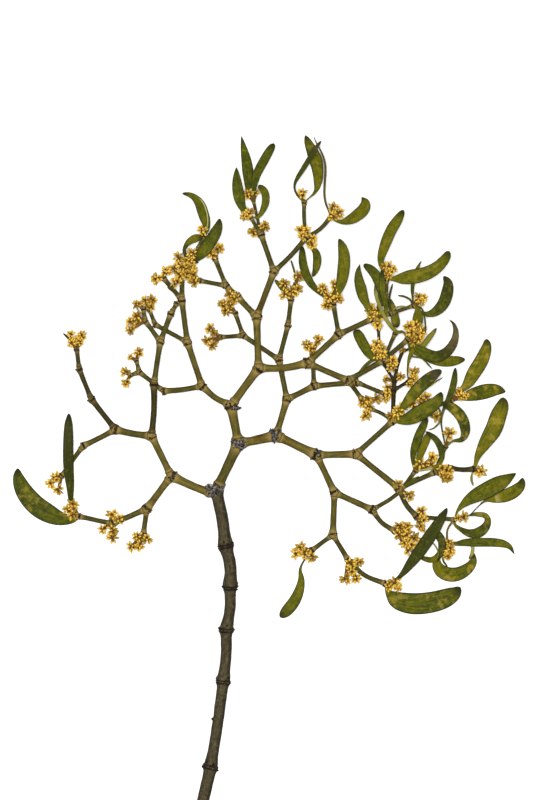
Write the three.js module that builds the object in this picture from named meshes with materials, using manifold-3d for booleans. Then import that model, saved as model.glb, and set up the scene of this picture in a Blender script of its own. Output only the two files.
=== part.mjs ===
// Cut sprig of mistletoe (Viscum album) in flower, lying on a flat surface.
// Millimetres. X runs across the sprig, Y from the cut end to the shoot tips, Z up from the surface.
// The woody shoots fork in two again and again; each fork carries leaves and small groups of flowers.

import * as THREE from 'three';
import { mergeVertices } from 'three/addons/utils/BufferGeometryUtils.js';
import Module from 'manifold-3d';

const wasm = await Module();
wasm.setup();

// ---- Driving dimensions ----
const GAP = 0.3;                 // space kept between two pieces that touch
const WELD_REACH = 1e-4;         // corners closer than this are one
const SHOOT_WAIST = 0.94;        // the slim middle of a length of shoot against its radius
const THICK_SHOOT_SIDES = 8;     // facets round the old wood
const THIN_SHOOT_SIDES = 6;      // facets round the young shoots
const THIN_SHOOT_RADIUS = 2.1;   // a shoot slimmer than this counts as young
const NODE_FLARE = 1.4;          // swelling at the far end of each length of shoot
const OLD_RING_FLARE = 1.32;     // swelling at the rings of the old stem
const LEAF_THICKNESS = 1.7;
const LEAF_SIDES = 8;
const FLOWER_LENGTH = 5.2;
const FLOWER_RADIUS = 3.7;
const FLOWER_HEART = 2.6;        // radius of the lump that the flowers of a group stand on
const FLOWER_SIDES = 5;
const FLOWER_LEAN = 1.25;        // how far the outer flowers of a group lean out, in radians
const FLOWER_LEAN_TOP = 0.15;    // how far its top flower leans

// ---- Colours ----
const OLD_BARK = 0x5a4e2c;
const YOUNG_BARK = 0x736726;
const FLOWER_GOLD = 0xa8842f;
const LEAF_GREEN = 0x5a6420;
const LEAF_DARK = 0x3c4520;
const LEAF_OLIVE = 0x787125;
const LEAF_BRIGHT = 0x68781c;

// ---- Forks and shoot tips: x, y, z ----
const AT = {
  cut: [-52.8, -255, 4.8],
  ringA: [-44.6, -219, 5.6],
  ringB: [-35.2, -155, 5.8],
  ringC: [-33, -116, 7],
  ringD: [-30, -84, 8.4],
  ringE: [-33.4, -52.5, 10.4],
  crown: [-40.5, -11.2, 13],

  leftFork: [-74.2, 0, 15],
  leftHigh: [-88.9, 30, 18],
  leftTop: [-87, 69.4, 24],
  leftCrest: [-82.3, 100.7, 25],
  leftCrestTip: [-74.2, 121.9, 27],
  leftCrestEnd: [-69.8, 129.5, 24],
  leftCrestSide: [-93.5, 116.2, 28],
  leftCrestUp: [-94.9, 125.5, 29],
  armBend: [-116.2, 34.9, 15],
  armHigh: [-134.2, 57.7, 17],
  armTop: [-143.2, 80.2, 18],
  armEnd: [-145.1, 95, 18],
  armLow: [-140.6, 22.5, 13],
  armLowEnd: [-156.7, 0, 9],
  leftLow: [-92.6, -24.7, 11],
  leftLowBend: [-118.5, -36, 9],
  leftLowEnd: [-144, -30.4, 9],
  leftDrop: [-95.2, -43.5, 8],

  middleFork: [-23.7, 24.5, 17],
  centreLow: [-29.2, 52.9, 20],
  centreMid: [-8.6, 81, 26],
  centreHigh: [-10.1, 119.2, 30],
  centreTop: [2.9, 153, 33],
  centreCrest: [-6.7, 180.7, 31],
  centreEnd: [-12.4, 206, 26],
  centreSide: [-14.5, 193.5, 34],
  topRight: [27.3, 178.5, 34],
  topRightUp: [25.5, 204.7, 30],
  topRightOut: [45.4, 193.9, 36],

  backLow: [-51, 67.5, 22],
  backHigh: [-62, 100.3, 26],
  backTop: [-66.1, 132, 31],
  backEnd: [-65.7, 150, 32],
  backSide: [-80, 148.5, 29],
  backTwig: [-55.7, 161.2, 27],
  backTwigMid: [-54.7, 169.5, 26],
  backTwigEnd: [-49.2, 179.8, 25],
  underLow: [-79.9, 63.7, 15],
  underMid: [-98.2, 78, 17],
  underUp: [-100.4, 87, 18],
  underOut: [-105.2, 75.4, 16],
  crossLow: [-86.2, 113.6, 19],
  crossUp: [-90.4, 124.4, 21],

  innerLow: [-24.7, 134.6, 31],
  innerMid: [-33, 142.5, 32],
  innerUp: [-41.2, 163, 30],
  innerSide: [-52.5, 146.2, 34],

  rightFork: [4.5, 30.4, 16],
  rightMid: [12.7, 57.5, 16],
  rightBack: [6.7, 87.4, 17],
  rightBackLeft: [-20.2, 105.4, 19],
  rightBackUp: [-26.2, 122.5, 21],
  rightBackOut: [-36.8, 104.2, 18],
  budShoot: [13.5, 113.2, 22],
  budShootUp: [15.7, 132.4, 26],
  budShootEnd: [19.2, 144, 27],
  lowFork: [33, 67.5, 17],
  lowForkUp: [31.8, 92, 18],
  lowForkOut: [65.1, 70.3, 17],
  lowForkEnd: [86.4, 61.4, 18],

  farFork: [28.1, 84.7, 26],
  farHigh: [51.4, 106.1, 30],
  farHighUp: [47.2, 129, 33],
  farHighOut: [76.5, 117.7, 34],
  farUpMid: [86.4, 134, 38],
  farUpEnd: [87.2, 147, 40],
  farSideMid: [90, 121.6, 36],
  farSideEnd: [107, 127.4, 38],
  farLow: [58.5, 71.6, 28],
  farLowDown: [68.4, 58.2, 24],
  farEdge: [84.7, 86.6, 30],
  farEdgeUp: [103, 102.2, 34],
  farEdgeIn: [93.5, 106.6, 28],

  sideFork: [34.9, 15.7, 16],
  sideMid: [64.5, 16.5, 19],
  sideHigh: [91.9, 41.2, 24],
  sideHighUp: [93.2, 71.2, 21],
  sideHighTop: [100.3, 94.2, 22],
  sideHighIn: [76, 50.2, 21],
  sideOutMid: [113.4, 48.6, 22],
  sideOutEnd: [136.2, 56.5, 24],
  lowOut: [96.7, -9.4, 22],
  lowOutDown: [110.2, -30.7, 21],
  lowOutEnd: [138.7, -32.6, 20],
  lowOutTip: [133, -48.5, 13],
  lowOutUp: [123.4, 2.8, 21],
  lowOutFar: [134, 6.2, 22],
  lowOutFarEnd: [153, 5.2, 20],
  lowOutNorth: [131.4, 22, 25],
  bottomFork: [48.4, -12.4, 14],
  bottomOut: [76.9, -25.5, 13],
  bottomOutEnd: [93.7, -41.4, 11],
  bottomUnder: [109.1, 3.7, 14],
  bottomLow: [47.2, -44.2, 11],
  bottomLowLeft: [31.4, -56, 9],
  bottomLowRight: [58.5, -63, 8],
  bottomEnd: [87, -81.2, 7],
};

// ---- Shoots: each length runs from one fork to the next, with its radius ----
// A third number bows the length sideways, to the left of its direction when positive.
const SHOOTS = {
  stem_main: [
    ['cut', 'ringA', 4.1], ['ringA', 'ringB', 3.7, 1.2], ['ringB', 'ringC', 3.6],
    ['ringC', 'ringD', 3.6], ['ringD', 'ringE', 4.1], ['ringE', 'crown', 4, -1],
  ],
  shoot_centre: [
    ['crown', 'middleFork', 3.2], ['middleFork', 'centreLow', 2.9], ['centreLow', 'centreMid', 2.6],
    ['centreMid', 'centreHigh', 2.3], ['centreHigh', 'centreTop', 2], ['centreTop', 'centreCrest', 1.7],
    ['centreCrest', 'centreEnd', 1.4], ['centreCrest', 'centreSide', 1.2],
  ],
  shoot_left: [
    ['crown', 'leftFork', 2.6], ['leftFork', 'leftHigh', 2.2], ['leftHigh', 'leftTop', 2],
    ['leftTop', 'leftCrest', 1.8], ['leftCrest', 'leftCrestTip', 1.7],
    ['leftCrestTip', 'leftCrestEnd', 1.4],
    ['leftCrest', 'leftCrestSide', 1.5], ['leftCrestSide', 'leftCrestUp', 1.3],
  ],
  shoot_left_arm: [
    ['leftHigh', 'armBend', 2.1, -1.5], ['armBend', 'armHigh', 1.8], ['armHigh', 'armTop', 1.6],
    ['armTop', 'armEnd', 1.4],
  ],
  shoot_left_arm_low: [['armBend', 'armLow', 1.8, -1.5], ['armLow', 'armLowEnd', 1.5]],
  shoot_left_low: [
    ['leftFork', 'leftLow', 2.3], ['leftLow', 'leftLowBend', 1.9], ['leftLowBend', 'leftLowEnd', 1.6],
    ['leftLow', 'leftDrop', 1.6],
  ],
  shoot_back: [
    ['centreLow', 'backLow', 2], ['backLow', 'backHigh', 2], ['backHigh', 'backTop', 1.8],
    ['backTop', 'backEnd', 1.6], ['backTop', 'backSide', 1.5],
  ],
  shoot_back_tip: [
    ['backEnd', 'backTwig', 1.4], ['backTwig', 'backTwigMid', 1.3], ['backTwigMid', 'backTwigEnd', 1.2],
  ],
  shoot_under: [
    ['backLow', 'underLow', 1.8], ['underLow', 'underMid', 1.5], ['underMid', 'underUp', 1.3],
    ['underMid', 'underOut', 1.3],
  ],
  shoot_cross: [['backHigh', 'crossLow', 1.5], ['crossLow', 'crossUp', 1.3]],
  shoot_inner: [
    ['centreHigh', 'innerLow', 1.9], ['innerLow', 'innerMid', 1.7], ['innerMid', 'innerUp', 1.5],
    ['innerMid', 'innerSide', 1.4],
  ],
  shoot_top_right: [
    ['centreTop', 'topRight', 1.6], ['topRight', 'topRightUp', 1.3], ['topRight', 'topRightOut', 1.4],
  ],
  shoot_right: [
    ['middleFork', 'rightFork', 3, 1.8], ['rightFork', 'rightMid', 2.1], ['rightMid', 'rightBack', 1.8],
    ['rightBack', 'rightBackLeft', 1.6], ['rightBackLeft', 'rightBackUp', 1.4],
    ['rightBackLeft', 'rightBackOut', 1.4],
  ],
  shoot_bud: [
    ['rightBack', 'budShoot', 1.6], ['budShoot', 'budShootUp', 1.5], ['budShootUp', 'budShootEnd', 1.2],
  ],
  shoot_low_fork: [
    ['rightMid', 'lowFork', 1.9], ['lowFork', 'lowForkOut', 1.8], ['lowForkOut', 'lowForkEnd', 1.4],
    ['lowFork', 'lowForkUp', 1.5],
  ],
  shoot_far: [
    ['centreMid', 'farFork', 2.4, 1.4], ['farFork', 'farHigh', 2], ['farHigh', 'farHighOut', 1.8],
    ['farHigh', 'farHighUp', 1.5],
  ],
  shoot_far_tip: [
    ['farHighOut', 'farUpMid', 1.5], ['farUpMid', 'farUpEnd', 1.3], ['farHighOut', 'farSideMid', 1.4],
    ['farSideMid', 'farSideEnd', 1.3],
  ],
  shoot_far_low: [
    ['farFork', 'farLow', 2], ['farLow', 'farEdge', 1.8], ['farEdge', 'farEdgeUp', 1.6],
    ['farEdge', 'farEdgeIn', 1.3], ['farLow', 'farLowDown', 1.4],
  ],
  shoot_side: [
    ['rightFork', 'sideFork', 2.8], ['sideFork', 'sideMid', 2.3], ['sideMid', 'sideHigh', 1.8],
    ['sideHigh', 'sideHighUp', 1.6], ['sideHighUp', 'sideHighTop', 1.3], ['sideHigh', 'sideHighIn', 1.3],
  ],
  shoot_side_out: [['sideHigh', 'sideOutMid', 1.5], ['sideOutMid', 'sideOutEnd', 1.3]],
  shoot_low_out: [
    ['sideMid', 'lowOut', 2], ['lowOut', 'lowOutDown', 1.6], ['lowOutDown', 'lowOutEnd', 1.4],
    ['lowOutEnd', 'lowOutTip', 1.2],
  ],
  shoot_low_out_high: [
    ['lowOut', 'lowOutUp', 1.6], ['lowOutUp', 'lowOutFar', 1.4], ['lowOutFar', 'lowOutFarEnd', 1.3],
    ['lowOutUp', 'lowOutNorth', 1.3],
  ],
  shoot_bottom: [
    ['sideFork', 'bottomFork', 2.1], ['bottomFork', 'bottomOut', 2], ['bottomOut', 'bottomOutEnd', 1.6],
    ['bottomOut', 'bottomUnder', 1.5],
  ],
  shoot_bottom_low: [
    ['bottomFork', 'bottomLow', 2], ['bottomLow', 'bottomLowRight', 1.6],
    ['bottomLowRight', 'bottomEnd', 1.5], ['bottomLow', 'bottomLowLeft', 1.5],
  ],
};

// ---- Leaves: the fork each grows from, greatest width, roll in degrees and middle line to the tip ----
// Roll 0 lays the blade flat, 90 stands it on its edge.
const LEAVES = [
  ['leaf_left_upright', LEAF_DARK, 'leftLowEnd', 9, -25,
    [[-149, -21, 10], [-151.5, 15, 16], [-150.7, 46, 22]]],
  ['leaf_left_broad', LEAF_GREEN, 'leftLowEnd', 14.5, 4,
    [[-153, -33.8, 5.4], [-162, -32, 2.6], [-173.5, -23, 1.3], [-183.5, -10, 1.4], [-190, 5, 4]]],
  ['leaf_top_bent', LEAF_GREEN, 'backTwigEnd', 8.8, 20,
    [[-49.4, 186, 28], [-50.2, 195.7, 32], [-56.2, 207.7, 35], [-65, 211, 35]]],
  ['leaf_top_slim', LEAF_DARK, 'centreSide', 8.6, -15,
    [[-16, 200, 36], [-20, 214, 37], [-24.7, 231.3, 33]]],
  ['leaf_top_tall', LEAF_GREEN, 'centreEnd', 8, 4,
    [[-16.6, 216, 22], [-18.8, 232, 9], [-20.7, 247, 1.1], [-21.2, 254, 0.9]]],
  ['leaf_top_spread', LEAF_GREEN, 'centreEnd', 8.2, -30,
    [[-9.6, 213.5, 28], [-4, 229.6, 31], [2.6, 248.6, 30]]],
  ['leaf_crest_flat', LEAF_OLIVE, 'topRightUp', 9.2, 18,
    [[29.4, 212, 29], [32.4, 224, 23], [30.2, 240, 13], [26.6, 255.4, 3]]],
  ['leaf_crest_side', LEAF_OLIVE, 'topRightOut', 11.4, 25,
    [[51, 189.6, 37], [60, 187.7, 38], [72, 195, 36], [68.6, 208.7, 33]]],
  ['leaf_far_upright', LEAF_OLIVE, 'farUpEnd', 8.4, 30,
    [[86.4, 162, 44], [92.3, 178, 47], [100, 198.4, 48]]],
  ['leaf_far_outer', LEAF_OLIVE, 'farUpEnd', 10.4, -12,
    [[96, 148.2, 43], [109, 149.6, 46], [123.7, 156.7, 46], [133.1, 168.4, 43]]],
  ['leaf_far_bright', LEAF_BRIGHT, 'farHighOut', 10.4, -10,
    [[70.6, 128, 38], [67.2, 141.5, 42], [67.3, 158.6, 43]]],
  ['leaf_crest_right', LEAF_BRIGHT, 'farHighUp', 10, 15,
    [[52.4, 142.4, 37], [55.2, 152.7, 39], [55.5, 164, 40], [51.7, 177, 38]]],
  ['leaf_curved_grey', LEAF_DARK, 'farSideEnd', 8.4, 35,
    [[114, 122.6, 37], [124, 121.4, 36], [132.6, 130.5, 34], [134.4, 141, 31], [130, 149.4, 29]]],
  ['leaf_edge_curved', LEAF_DARK, 'farEdgeUp', 8, -35,
    [[110, 95.6, 34], [118.5, 90.4, 32], [129.5, 89.6, 28], [137.5, 98, 24], [138.6, 108, 22],
      [134.4, 117.2, 21]]],
  ['leaf_edge_flat', LEAF_BRIGHT, 'farEdgeUp', 9, 10,
    [[107.4, 92.4, 28], [119, 87, 25], [132.5, 86.4, 22], [146.4, 87.8, 20]]],
  ['leaf_high_outer', LEAF_OLIVE, 'sideOutEnd', 11.4, -10,
    [[143.5, 66, 22], [154, 82.5, 19], [162.2, 102.8, 14]]],
  ['leaf_low_outer', LEAF_OLIVE, 'sideOutEnd', 11.8, 4,
    [[144, 56.9, 19], [156, 58, 10], [168, 60.8, 1.9], [177, 63.6, 0.4]]],
  ['leaf_side_flat', LEAF_BRIGHT, 'sideHigh', 10.2, -8,
    [[100.6, 43.4, 28], [112.5, 46.6, 31], [122, 54, 31], [128.6, 63, 29]]],
  ['leaf_outer_tall', LEAF_OLIVE, 'lowOutFarEnd', 13.2, -12,
    [[155.2, 12, 21], [159.6, 24.5, 24], [166.8, 40, 24], [175.2, 58.2, 21]]],
  ['leaf_inner_tall', LEAF_DARK, 'bottomUnder', 8.4, 22,
    [[107.8, 12, 18], [107.2, 23.6, 24], [110.5, 34, 26], [117.4, 42.8, 24]]],
  ['leaf_outer_flat', LEAF_GREEN, 'lowOutEnd', 12, 12,
    [[141.6, -26.5, 22], [148, -16.5, 25], [159, -7.9, 25], [172.5, -3.2, 22], [184.5, 1.7, 18]]],
  ['leaf_outer_folded', LEAF_DARK, 'lowOutEnd', 10.6, -18,
    [[145, -30.4, 19], [155, -24.2, 15], [167, -16.6, 12], [180, -12.4, 9], [191.8, -4.6, 8]]],
  ['leaf_lower_dark', LEAF_DARK, 'bottomEnd', 9, 15,
    [[94.4, -75.4, 9], [104.5, -64.5, 12], [118, -46.5, 15], [131.6, -24.4, 14]]],
  ['leaf_lower_cupped', LEAF_OLIVE, 'lowOutTip', 11.6, 15,
    [[127.8, -56.5, 10], [126.8, -65, 7.6], [132, -73, 5], [142, -74.4, 4], [151, -67.5, 5],
      [152.4, -55, 7]]],
  ['leaf_bottom_broad', LEAF_GREEN, 'bottomEnd', 16, -3,
    [[92, -87, 5.4], [102.6, -93.8, 2.6], [116.2, -95.4, 1.2], [131, -91.4, 1.2], [142.6, -84, 3]]],
  ['leaf_bottom_hanging', LEAF_GREEN, 'bottomLowLeft', 8.6, 15,
    [[25.4, -62.6, 8], [22.6, -72, 6], [23.2, -82, 4.4], [16.6, -94.6, 2.4], [8.8, -106.4, 1.4]]],
];

// ---- Groups of flowers: name, middle, and the turn of the group about the upright, in degrees ----
const FLOWER_GROUPS = [
  ['flowers_back', [-64.6, 156.5, 35], 10, 5],
  ['flowers_inner_left', [-29.6, 128.4, 23], 50, 4],
  ['flowers_crest', [45.6, 134.8, 35], 80, 5],
  ['flowers_far_right', [79, 121.2, 38], 20, 4],
  ['flowers_edge', [108, 107.6, 36], 65, 5],
  ['flowers_side', [95, 47.6, 26], 35, 4],
  ['flowers_far_top', [88.6, 152.6, 42], 15, 4],
  ['flowers_bottom_out', [99.4, -45.6, 10.5], 0, 5],
  ['flowers_bottom_low', [60.4, -69.6, 8.8], 40, 5],
  ['flowers_left_end', [-147.6, -26.6, 10], 25, 4],
];

// ---- Shaping ----

// A turned shape whose Y is a distance along a curve is bent to lie on that curve.
// X becomes the sideways direction, Z the direction square to it, after a roll about the curve.
function bendAlong(geometry, curve, rollDegrees) {
  const length = curve.getLength();
  const roll = THREE.MathUtils.degToRad(rollDegrees);
  const upright = new THREE.Vector3(0, 0, 1);
  const vertices = geometry.attributes.position;
  const vertex = new THREE.Vector3();
  for (let i = 0; i < vertices.count; i += 1) {
    vertex.fromBufferAttribute(vertices, i);
    const share = THREE.MathUtils.clamp(vertex.y / length, 0, 1);
    const along = curve.getTangentAt(share);
    const side = new THREE.Vector3().crossVectors(along, upright).normalize();
    const up = new THREE.Vector3().crossVectors(side, along);
    side.applyAxisAngle(along, roll);
    up.applyAxisAngle(along, roll);
    const spot = curve.getPointAt(share)
      .addScaledVector(along, vertex.y - share * length)
      .addScaledVector(side, vertex.x)
      .addScaledVector(up, vertex.z);
    vertices.setXYZ(i, spot.x, spot.y, spot.z);
  }
  return geometry;
}

// Welds the seams and poles of a turned shape and drops the triangles that its poles leave empty.
function closed(geometry) {
  geometry.deleteAttribute('normal');
  geometry.deleteAttribute('uv');
  const welded = mergeVertices(geometry, WELD_REACH);
  const corners = welded.index.array;
  const triangles = [];
  for (let i = 0; i < corners.length; i += 3) {
    const [a, b, c] = [corners[i], corners[i + 1], corners[i + 2]];
    if (a !== b && b !== c && c !== a) triangles.push(a, b, c);
  }
  const solid = new wasm.Manifold(new wasm.Mesh({
    numProp: 3,
    vertProperties: new Float32Array(welded.attributes.position.array),
    triVerts: new Uint32Array(triangles),
  }));
  return solid;
}

function turned(profile, sides) {
  const points = profile.map(([distance, radius]) => new THREE.Vector2(radius, distance));
  return new THREE.LatheGeometry(points, sides);
}

// One length of shoot: slim in the middle, swollen where the next pair of lengths grows out.
function shootLength([from, to, radius, bow = 0], flare, skin) {
  const start = new THREE.Vector3(...AT[from]);
  const end = new THREE.Vector3(...AT[to]);
  const leftward = new THREE.Vector3(start.y - end.y, end.x - start.x, 0).normalize();
  const middle = start.clone().lerp(end, 0.5).addScaledVector(leftward, bow);
  const curve = new THREE.CatmullRomCurve3([start, middle, end]);
  const length = curve.getLength();
  const r = radius + skin;
  const swollen = radius * flare + skin;
  const profile = [
    [-0.7 * radius - skin, 0],
    [-0.3 * radius, 0.8 * r],
    [0.5 * radius, r],
    [0.45 * length, SHOOT_WAIST * r],
    [length - 2.6 * radius, 1.06 * r],
    [length - 0.7 * radius, swollen],
    [length + 0.25 * radius, 0.92 * swollen],
    [length + 0.75 * radius + skin, 0],
  ];
  const sides = radius < THIN_SHOOT_RADIUS ? THIN_SHOOT_SIDES : THICK_SHOOT_SIDES;
  return closed(bendAlong(turned(profile, sides), curve, 0));
}

function shoot(lengths, flare, skin) {
  return lengths
    .map((oneLength) => shootLength(oneLength, flare, skin))
    .reduce((whole, next) => whole.add(next));
}

// A leathery strap of a leaf: narrow at the base, widest past the middle, round at the tip.
function leaf([, , fork, width, roll, line], skin) {
  const curve = new THREE.CatmullRomCurve3([AT[fork], ...line].map((point) => new THREE.Vector3(...point)));
  const length = curve.getLength();
  const outline = [
    [0.03, 0.22], [0.2, 0.42], [0.4, 0.8], [0.6, 1], [0.79, 0.9], [0.92, 0.58],
  ];
  const profile = [
    [-skin, 0],
    ...outline.map(([share, spread]) => [share * length, spread]),
    [length + skin, 0],
  ];
  const shape = turned(profile, LEAF_SIDES);
  const vertices = shape.attributes.position;
  for (let i = 0; i < vertices.count; i += 1) {
    const [x, z] = [vertices.getX(i), vertices.getZ(i)];
    const spread = Math.hypot(x, z) || 1;
    vertices.setX(i, x * (width / 2 + skin / spread));
    vertices.setZ(i, z * (LEAF_THICKNESS / 2 + skin / spread));
  }
  return closed(bendAlong(shape, curve, roll));
}

// One flower: a short cup that flares into a star.
function flower(middle, direction, skin) {
  const profile = [
    [-skin, 0],
    [0.3 * FLOWER_LENGTH, 0.5 * FLOWER_RADIUS + skin],
    [0.95 * FLOWER_LENGTH, FLOWER_RADIUS + skin],
    [1.05 * FLOWER_LENGTH + skin, 0],
  ];
  const curve = new THREE.LineCurve3(middle, middle.clone().addScaledVector(direction, FLOWER_LENGTH));
  return closed(bendAlong(turned(profile, FLOWER_SIDES), curve, 0));
}

// A group of flowers: one looks up and the rest lean out round it, on a common lump.
function flowerGroup([, place, turn, count], skin) {
  const middle = new THREE.Vector3(...place);
  const heart = new THREE.IcosahedronGeometry(FLOWER_HEART + skin, 0).translate(...place);
  let group = closed(heart);
  for (let k = 0; k < count; k += 1) {
    const angle = THREE.MathUtils.degToRad(turn) + (k * 2 * Math.PI) / (count - 1);
    const lean = k === count - 1 ? FLOWER_LEAN_TOP : FLOWER_LEAN;
    const direction = new THREE.Vector3(
      Math.sin(lean) * Math.cos(angle), Math.sin(lean) * Math.sin(angle), Math.cos(lean),
    );
    group = group.add(flower(middle, direction, skin));
  }
  return group;
}

// ---- Fitting the pieces together ----
const placed = [];

function boxesMeet(a, b) {
  const [p, q] = [a.boundingBox(), b.boundingBox()];
  return [0, 1, 2].every((k) => p.min[k] < q.max[k] && q.min[k] < p.max[k]);
}

function largestBody(solid) {
  return solid.decompose().reduce((best, body) => (body.volume() > best.volume() ? body : best));
}

// Each new piece gives way to those already in place, with the gap between them.
function fit(name, colour, roughness, makeSolid) {
  let solid = makeSolid(0);
  for (const neighbour of placed) {
    if (boxesMeet(solid, neighbour.grown)) solid = solid.subtract(neighbour.grown);
  }
  placed.push({ name, colour, roughness, solid: largestBody(solid), grown: makeSolid(GAP) });
}

for (const [name, lengths] of Object.entries(SHOOTS)) {
  const old = name === 'stem_main';
  const flare = old ? OLD_RING_FLARE : NODE_FLARE;
  fit(name, old ? OLD_BARK : YOUNG_BARK, old ? 0.85 : 0.65, (skin) => shoot(lengths, flare, skin));
}
for (const row of LEAVES) fit(row[0], row[1], 0.5, (skin) => leaf(row, skin));
for (const row of FLOWER_GROUPS) fit(row[0], FLOWER_GOLD, 0.6, (skin) => flowerGroup(row, skin));

const sprig = new THREE.Group();
sprig.name = 'mistletoe_sprig';
for (const { name, colour, roughness, solid } of placed) {
  const { vertProperties, triVerts } = solid.getMesh();
  const geometry = new THREE.BufferGeometry();
  geometry.setAttribute('position', new THREE.BufferAttribute(vertProperties, 3));
  geometry.setIndex(new THREE.BufferAttribute(triVerts, 1));
  geometry.computeVertexNormals();
  const mesh = new THREE.Mesh(
    geometry,
    new THREE.MeshStandardMaterial({ color: colour, roughness, metalness: 0 }),
  );
  mesh.name = name;
  sprig.add(mesh);
}

// The frame: the middle of the sprig's outline on the surface is the origin.
const outline = new THREE.Box3().setFromObject(sprig);
const centre = outline.getCenter(new THREE.Vector3());
sprig.position.set(-centre.x, -centre.y, -outline.min.z);

export default sprig;
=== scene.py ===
"""Looks of a cut sprig of flowering mistletoe that lies on a pale surface.

The woody shoots, the leathery leaves and the small golden flowers are each built by an operator.
Lengths in the tables are millimetres: X across the sprig, Y from the cut end to the tips, Z up.
"""

import math
import random

import bmesh
import bpy
from mathutils import Matrix, Vector, noise


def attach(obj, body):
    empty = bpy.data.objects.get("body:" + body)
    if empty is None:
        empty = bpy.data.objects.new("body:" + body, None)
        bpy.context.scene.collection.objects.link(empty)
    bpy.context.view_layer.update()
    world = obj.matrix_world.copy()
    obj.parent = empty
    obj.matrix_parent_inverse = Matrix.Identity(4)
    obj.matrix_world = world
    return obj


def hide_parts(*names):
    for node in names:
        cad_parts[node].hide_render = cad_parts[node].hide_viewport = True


bl_info = {
    "name": "Mistletoe Sprig",
    "version": (1, 0, 0),
    "blender": (4, 5, 0),
    "location": "View3D > Sidebar > Sprig",
    "description": "Builds the shoots, leaves and flowers of a cut mistletoe sprig",
    "category": "Add Mesh",
}

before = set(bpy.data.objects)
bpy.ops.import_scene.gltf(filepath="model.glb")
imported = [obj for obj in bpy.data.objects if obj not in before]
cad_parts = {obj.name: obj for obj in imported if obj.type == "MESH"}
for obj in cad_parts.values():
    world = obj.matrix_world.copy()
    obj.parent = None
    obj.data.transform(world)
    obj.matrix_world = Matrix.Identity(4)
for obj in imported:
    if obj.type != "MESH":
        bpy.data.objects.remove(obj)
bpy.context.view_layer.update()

# ---------------------------------------------------------------- places and sizes, in millimetres

TABLES_TO_FRAME = Matrix.Scale(0.001, 4) @ Matrix.Translation((0.052, 1.199, -0.127))

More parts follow.
